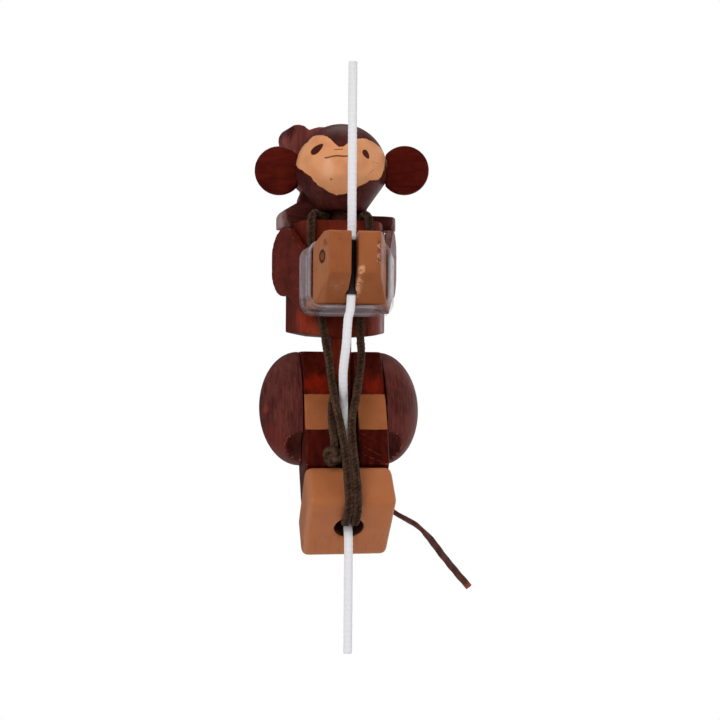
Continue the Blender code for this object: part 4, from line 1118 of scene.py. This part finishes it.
def makeLeather():
    # dark waxed leather, lighter on its folds and ridges, with a bare cut tip
    mat = newMaterial("waxedThong")
    run, angle, _ = mat.parts(mat.where("UV"))
    fold = mat.noise(3.0)
    fine = mat.noise(0.3)
    ridge = (angle * math.tau).math("COSINE")
    tone = fold.over(0.5, 0.2) * 0.5 + ridge * 0.15 + (fine - 0.5) * 0.25 + 0.1
    base = mat.mix(tone, tailLook["dark"], tailLook["light"])
    tip = run.over(tailRun[-1] - tailLook["tip"], 0.9)
    base = mat.mix(tip * 0.8, base, tailLook["tipTint"])
    roughness = 0.5 + (fine - 0.5) * 0.3
    return mat.surface(base, roughness, fold * 0.8 + fine * 0.4, 0.15, Specular_IOR_Level=0.2)


tailPath, tailRun = smoothCurve(tailRoute, 0.5)
tail = sweep(
    "tailThong", tailPath, tailRun, thongSection, thongTurn, (0.0, 1.0, 0.0), makeLeather()
)
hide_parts("tail")
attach(tail, "legs")
print("cord, elastic, knot and tail are in place")

# wrist band

bandLook = {
    "front": 3.2,  # mm behind the cord
    "rear": 10.6,
    "wall": 1.4,
    "gap": 0.3,  # mm between it and the arms
    "half": ((-8.5, 7.0, 25.0), (8.1, 13.27, 18.26)),  # depths, and half the arms' width there
    "drop": ((3.0, 12.0), (15.2, 18.5)),  # depths, and how far below the pin the arms reach there
    "rise": ((-4.0, 7.0), (7.2, 1.8)),  # the same above it
    "pinLevel": -62.3,
    "sides": 72,
    "corner": 4.6,  # mm, the outside of its corners
    "tint": (156, 139, 142),
    "streak": (190, 182, 188),
    "alpha": 0.5,
    "contactAlpha": 0.16,  # where it lies on the paint of the lower corners
    "contact": (8.6, -75.8),  # it does so from this far aside and below this height
    "glare": (13.2, -77.5, -61.0),  # from this far aside, between these heights
    "glareTint": (222, 214, 216),
    "middle": (0.0, -70.0),  # aside and up
}


def bandRing(depth, inset):
    # a rounded rectangle round both arms: half width and heights follow the arms' outlines
    gap, wall, sides = bandLook["gap"], bandLook["wall"], bandLook["sides"]
    half = np.interp(depth, *bandLook["half"]) + gap + wall - inset
    low = bandLook["pinLevel"] - np.interp(depth, *bandLook["drop"]) - gap - wall + inset
    high = bandLook["pinLevel"] + np.interp(depth, *bandLook["rise"]) + gap + wall - inset
    corner = bandLook["corner"] - inset
    angle = (np.arange(sides) + 0.5) * math.tau / sides
    x = np.sign(np.cos(angle)) * (half - corner) + corner * np.cos(angle)
    z = (high + low) / 2 + np.sign(np.sin(angle)) * ((high - low) / 2 - corner)
    z = z + corner * np.sin(angle)
    return np.stack((x, np.full(sides, depth), z), axis=1)


def makeBandFinish():
    # clear rubber gone cloudy: streaks run along the band, and it clears where it lies on paint
    mat = newMaterial("bandRubber")
    streaks = mat.noise(2.2, (0.06, 1.0, 1.0), at=mat.where("UV"))
    cloud = mat.noise(4.0, evenly, 4.0, 0.6)
    bright = streaks.over(0.56, 0.1)
    base = mat.mix(bright * 0.8, bandLook["tint"], bandLook["streak"])
    x, _, z = mat.parts(mat.spot)
    aside, top = bandLook["contact"]
    contact = z.under(top, 1.0) * x.math("ABSOLUTE").over(aside, 1.6)
    alpha = bandLook["alpha"] + (cloud - 0.5) * 0.3 + bright * 0.16
    alpha = alpha - contact * (bandLook["alpha"] - bandLook["contactAlpha"])
    aside, low, high = bandLook["glare"]
    glare = x.over(aside, 0.5) * z.under(high, 2.0) * z.over(low, 1.5) * (0.5 + cloud * 0.7)
    base = mat.mix(glare * 0.8, base, bandLook["glareTint"])
    shown = {"Alpha": alpha + glare * 0.25, "Specular_IOR_Level": 0.4}
    return mat.surface(base, 0.22 + cloud * 0.15, cloud + streaks * 0.3, 0.08, **shown)


def addBand():
    # one loop of the wall's section: outside, round the rear, inside, round the front
    front, rear, wall = bandLook["front"], bandLook["rear"], bandLook["wall"]
    edge = wall / 2
    flat = np.linspace(front + edge, rear - edge, 9)
    turn = np.linspace(0.0, math.pi, 8)[1:-1]
    rise, fall = edge * np.sin(turn), edge * np.cos(turn)
    depths = (flat, rear - edge + rise, flat[::-1], front + edge - rise)
    insets = (flat * 0, edge - fall, flat * 0 + wall, edge + fall)
    depths, insets = np.concatenate(depths), np.concatenate(insets)
    points = np.stack([bandRing(depth, inset) for depth, inset in zip(depths, insets)])
    ripple = 0.12 * lumps(points, 4.0, 9)[..., None] * (insets == 0.0)[:, None, None]
    points[..., 0::2] += ripple * np.sign(points[..., 0::2] - bandLook["middle"])
    run = np.linalg.norm(np.diff(points, axis=1, prepend=points[:, -1:]), axis=2).cumsum(axis=1)
    share = np.arange(len(depths))[:, None] * 0.7 + 0 * run
    uv = np.stack((run, share), axis=-1).reshape(-1, 2)
    faces = gridFaces(len(depths), bandLook["sides"], closedRows=True)
    turns = (float(run.max()), 0.7 * len(depths))
    return addPiece("wristBand", points.reshape(-1, 3), faces, makeBandFinish(), uv, turns)


band = addBand()
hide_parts("wrist_band")
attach(band, "arms")
print("wrist band is stretched round the wrists")

# head with its painted face

headLow, headHigh = (np.array(corner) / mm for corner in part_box("head"))
headRadius = (headHigh[0] - headLow[0]) / 2
headMiddle = np.append((headLow[:2] + headHigh[:2]) / 2, headHigh[2] - headRadius)

headLook = {
    "flat": 8.0,  # mm, radius of the flat under the head
    "below": 14.4,  # mm from the middle down to the flat
    "taperDrop": 4.1,
    "hole": 3.8,
    "holeTop": 8.1,  # mm below the middle, the blind end of the hole
    "dark": (50, 17, 15),
    "light": (86, 38, 35),
    "face": (224, 157, 111),
    "faceDeep": (190, 120, 78),
    "mark": (72, 28, 22),
    "faceWay": (-0.152, -0.973, -0.172),  # the way that the face looks
    "swell": 0.042,  # how much nearer parts of the ball look larger
    # marks in shares of the radius, right and up: middle, degrees, half length, half width
    "eyes": (((-0.521, 0.462), 40.0, 0.168, 0.072), ((0.549, 0.358), -58.0, 0.112, 0.056)),
    # start, end and width of each stroke
    "mouth": ((-0.34, 0.288), (0.17, 0.332), 0.017),
    "nose": ((-0.14, 0.452), (0.04, 0.466), 0.009),
    "dot": ((-0.213, -0.185), (-0.205, -0.185), 0.022),
    "cracks": (((0.5, -0.17), (0.72, 0.03), 0.008), ((0.68, 0.2), (0.86, 0.15), 0.007)),
    "glow": (-0.27, 0.13, 0.06, 0.26),  # painted highlight on the muzzle: its place and size, right and up
    "muzzleHighlightTint": (240, 196, 160),
    "dotTint": (92, 76, 58),
    "crackTint": (128, 96, 74),
    "rubTint": (128, 44, 26),
    "sheen": (0.14, (226, 150, 120)),
}

# the edge of the face, in shares of the head's radius, right and up from its middle
faceEdge = (
    (-0.996, 0.141), (-0.967, 0.28), (-0.871, 0.475), (-0.732, 0.613), (-0.635, 0.719),
    (-0.51, 0.76), (-0.372, 0.752), (-0.26, 0.697), (-0.163, 0.613), (-0.094, 0.544),
    (-0.03, 0.51), (0.04, 0.512), (0.1, 0.552), (0.21, 0.64), (0.377, 0.69), (0.5, 0.697),
    (0.627, 0.655), (0.765, 0.572), (0.876, 0.461), (0.96, 0.33), (0.95, 0.1), (0.889, -0.094),
    (0.822, -0.191), (0.626, -0.2), (0.487, -0.287), (0.376, -0.343), (0.17, -0.467),
    (-0.093, -0.524), (-0.343, -0.398), (-0.663, -0.122), (-0.843, 0.004), (-0.954, 0.059),
)
faceMiddle = (0.0, 0.1)


def turnedPoints(profile, middle, sides):
    # (r cos a, r sin a, h) for each (r, h) of the profile
    angle = np.arange(sides) * math.tau / sides
    r, h = np.array(profile)[:, :1], np.array(profile)[:, 1:]
    grid = (r * np.cos(angle), r * np.sin(angle), h + 0 * angle)
    return np.stack(grid, axis=-1).reshape(-1, 3) + np.array(middle)


def headProfile():
    # from the crown: a circle to the taper, a straight taper, a small round, the flat and the hole
    last = math.pi / 2 + math.asin(headLook["taperDrop"] / headRadius)
    angle = np.linspace(0.02, last, 60)
    ball = np.stack((headRadius * np.sin(angle), headRadius * np.cos(angle)), axis=1)
    edge, low, hole = headLook["flat"], -headLook["below"], headLook["hole"]
    taper = ball[-1] + ((edge, low) - ball[-1]) * np.linspace(0.1, 0.93, 10)[:, None]
    flat = ((edge - 0.25, low + 0.02), (edge - 0.7, low), (hole + 0.1, low), (hole, low + 0.1))
    return np.vstack((ball, taper, flat, (hole, -headLook["holeTop"])))


def ovalMask(mat, u, v, centre, degrees, long, short):
    # 1 inside an oval, (along / long)^2 + (aside / short)^2 < 1, a little fuller at its lower end
    turn = math.radians(degrees)
    along = (u - centre[0]) * math.cos(turn) + (v - centre[1]) * math.sin(turn)
    aside = (v - centre[1]) * math.cos(turn) - (u - centre[0]) * math.sin(turn)
    fuller = aside / (short - along * 0.12)
    gap = (along / long) * (along / long) + fuller * fuller
    return gap.under(1.0, 0.16)


def facePlace(mat):
    # u right and v up across the face in shares of the radius, and how near the point is to it
    out = unit(np.array(headLook["faceWay"]))
    right = viewRight()
    right = unit(right - out * np.dot(right, out))
    offset = mat.vector("SUBTRACT", mat.spot, tuple(headMiddle))
    near = mat.dot(offset, out / headRadius)
    scale = 1 - near * headLook["swell"]
    ways = right, np.cross(out, right)
    u, v = (mat.dot(offset, way / headRadius) / scale for way in ways)
    return u, v, near


def faceLimit(mat, u, down):
    # how far the face reaches from its middle in the direction of the point, by the angle
    edges = np.array(faceEdge) - np.array(faceMiddle)
    share = np.arctan2(edges[:, 1], edges[:, 0]) / math.tau + 0.5
    reach = np.hypot(edges[:, 0], edges[:, 1])
    stops = sorted(zip(share.tolist(), reach.tolist()))
    return mat.curve(down.math("ARCTAN2", u) / math.tau + 0.5, stops)


def makeHeadFinish():
    # brown all over, and the face inside its edge with eyes, nose, mouth, its marks and a painted
    # highlight on the muzzle
    mat = newMaterial("paintedHead")
    u, v, near = facePlace(mat)
    down = v - faceMiddle[1]
    limit = faceLimit(mat, u, down)
    brushed = (mat.noise(1.2) - 0.5) * 0.05
    face = (limit - u.hypot(down) + brushed).over(0.0, 0.012) * near.over(0.06, 0.03)

    grain = mat.noise(1.3, (1.0, 1.0, 0.2), 4.0, 0.6)
    broad = mat.noise(7.0)
    tone = grain.over(0.5, 0.2) * 0.5 + broad.over(0.5, 0.2) * 0.5
    brown = mat.mix(tone, headLook["dark"], headLook["light"])
    rub = mat.noise(3.5, evenly, 5.0, 0.7).over(0.7, 0.05)
    deep = broad.over(0.52, 0.2) * 0.5 + (grain - 0.5) * 0.3
    # painted highlight on the muzzle
    highlightU, wide, highlightV, high = headLook["glow"]
    glow = ((u - highlightU) / wide).hypot((v - highlightV) / high).under(0.75, 0.6)
    left, right = (ovalMask(mat, u, v, *eye) for eye in headLook["eyes"])
    wavy = v + (u * 14.0).math("SINE") * 0.012
    mouth = strokeMask(mat, u, wavy, *headLook["mouth"])
    nose = strokeMask(mat, u, v, *headLook["nose"])
    marks = left | right | mouth * 0.85 | nose * 0.8
    long, short = (strokeMask(mat, u, v, *crack) for crack in headLook["cracks"])
    cracks = (long | short) * mat.noise(0.8).over(0.48, 0.08)
    skin = mat.coats(
        mat.mix(deep, headLook["face"], headLook["faceDeep"]),
        (glow * 0.4, headLook["muzzleHighlightTint"]),
        (marks, headLook["mark"]),
        (strokeMask(mat, u, v, *headLook["dot"]) * 0.7, headLook["dotTint"]),
        (cracks * 0.6, headLook["crackTint"]),
    )
    base = mat.coats(brown, (rub * 0.5, headLook["rubTint"]), (face, skin))
    roughness = mat.smudged(0.42, 0.2) - face * 0.08
    height = grain * 0.5 + face * 0.8 + marks * 0.3
    return mat.surface(base, roughness, height, 0.05, **sheen(*headLook["sheen"]))


def addHead():
    # the profile turned about the upright through the ball's middle; it runs downwards
    profile = headProfile()
    faces = cappedFaces(len(profile), 96, turned=True)
    points = turnedPoints(profile, headMiddle, 96)
    head = addPiece("headBall", points, faces, makeHeadFinish())
    head.data.set_sharp_from_angle(angle=math.radians(50.0))
    return head


head = addHead()
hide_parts("head")
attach(head, "head")

earLook = {
    "radius": 8.4,
    "thickness": 3.0,
    "reach": 21.7,  # mm from the head's middle to its own
    "turn": -12.0,
    "edge": 0.9,  # mm, the round of its rim
    "gap": 0.1,
    "wear": 0.3,
    "sides": 72,
}


def addEar(name, side, node):
    # a disc turned about the way it faces, whose inner rim is pushed out to the round of the head
    radius, half, edge = earLook["radius"], earLook["thickness"] / 2, earLook["edge"]
    bend = np.linspace(0.0, math.pi / 2, 6)
    rim = (radius - edge + edge * np.sin(bend), -half + edge - edge * np.cos(bend))
    rim = np.stack(rim, axis=1)
    inner = np.linspace(0.05, radius - edge - 0.3, 14)
    front = np.stack((inner, np.full(14, -half)), axis=1)
    profile = np.vstack((front, rim, (rim * (1, -1))[::-1], (front * (1, -1))[::-1]))
    points = turnedPoints(profile, (0.0, 0.0, 0.0), earLook["sides"])
    z, y = points[:, 1], points[:, 2]
    seat = np.sqrt(np.maximum((headRadius + earLook["gap"]) ** 2 - y**2 - z**2, 0.0))
    x = side * np.maximum(np.abs(points[:, 0] + earLook["reach"]), seat)
    turn = math.radians(earLook["turn"])
    right, back = x * math.cos(turn) - y * math.sin(turn), x * math.sin(turn) + y * math.cos(turn)
    faces = cappedFaces(len(profile), earLook["sides"], turned=side < 0)
    turned = np.stack((right, back, z), axis=1) + headMiddle
    ear = addPiece(name, turned, faces, woods["earWood"])
    rimGap = (np.hypot(points[:, 0], points[:, 1]) - radius) / 0.4
    markWear(ear.data, earLook["wear"] * np.exp(-(rimGap**2)))
    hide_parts(node)
    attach(ear, "head")


addEar("earLeft", -1, "left_ear")
addEar("earRight", 1, "right_ear")
print("head and ears are turned")

# haunches

haunchLook = {
    "flat": 14.2,  # mm from the middle to the flat side
    "middle": (27.0, -112.8),  # depth and height of the middle
    "thickness": 13.4,
    "short": 15.5,
    "long": 20.5,
    "lean": 30.0,
    "scoopMiddle": (14.6, 10.4, -126.4),
    "scoopRadius": 6.2,
    "rows": 40,
    "sides": 96,
}


def scooped(points):
    # inside the scoop's ball a point moves back along one way until it is out of the ball
    scoop, radius = np.array(haunchLook["scoopMiddle"]), haunchLook["scoopRadius"]
    way = unit(np.array((0.0, *haunchLook["middle"])) - scoop * (0.0, 1.0, 1.0))
    offset = points - scoop
    along, far = offset @ way, np.sum(offset**2, axis=1)
    root = np.sqrt(np.maximum(along**2 - far + radius**2, 0.0))
    step = np.where(far < radius**2, root - along, 0.0)
    return points + step[:, None] * way, np.sqrt(far) - radius


def addHaunch(name, side, node):
    # half an egg: x = flat + T sin b, across = S cos b cos a, up = L cos b sin a, leant forward
    rows, sides = haunchLook["rows"], haunchLook["sides"]
    b = np.linspace(0.0, math.pi / 2 - 0.02, rows)[:, None]
    a = (np.arange(sides) * math.tau / sides)[None, :]
    x = haunchLook["flat"] + haunchLook["thickness"] * np.sin(b) + 0 * a
    across = haunchLook["short"] * np.cos(b) * np.cos(a)
    up = haunchLook["long"] * np.cos(b) * np.sin(a)
    lean = math.radians(-haunchLook["lean"])
    y = haunchLook["middle"][0] + across * math.cos(lean) - up * math.sin(lean)
    z = haunchLook["middle"][1] + across * math.sin(lean) + up * math.cos(lean)
    points, outside = scooped(np.stack((x, y, z), axis=-1).reshape(-1, 3))
    points[:, 0] *= side
    faces = cappedFaces(rows, sides, turned=side > 0)
    haunch = addPiece(name, points, faces, woods["haunchWood"])
    haunch.data.set_sharp_from_angle(angle=math.radians(45.0))
    # worn along the edge of the flat side; along the scoop's rim the same lighter colour is a
    # painted highlight
    wear = np.exp(-((np.abs(points[:, 0]) - haunchLook["flat"]) / 0.5) ** 2) * 0.6
    # painted highlight along the scoop's rim
    ridge = np.where(outside > -0.2, np.exp(-((outside / 0.7) ** 2)), 0.0)
    markWear(haunch.data, np.maximum(wear, ridge))
    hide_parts(node)
    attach(haunch, "legs")


addHaunch("haunchLeft", -1, "left_haunch")
addHaunch("haunchRight", 1, "right_haunch")
print("haunches are carved")

# pieces that keep the shape of their node, with softened and worn edges

dressNode("left_arm", handPaint, grid=0.3, soft=8, seat=(-18.68, 30.0, -62.3))
dressNode("right_arm", handPaint, grid=0.3, soft=8, seat=(18.68, 30.0, -62.3))
dressNode("torso", woods["torsoWood"], grid=0.45)
dressNode("shoulder_yoke", woods["yokeWood"])
dressNode("back_rider", woods["riderWood"], grid=0.45)
dressNode("waist_tongue", woods["tongueWood"])
dressNode("leg_block", stripePaint, grid=0.45)
dressNode("foot_block", tanPaint, grid=0.45, soft=14, knock=0.12)
print("arms, torso, legs and foot are dressed")
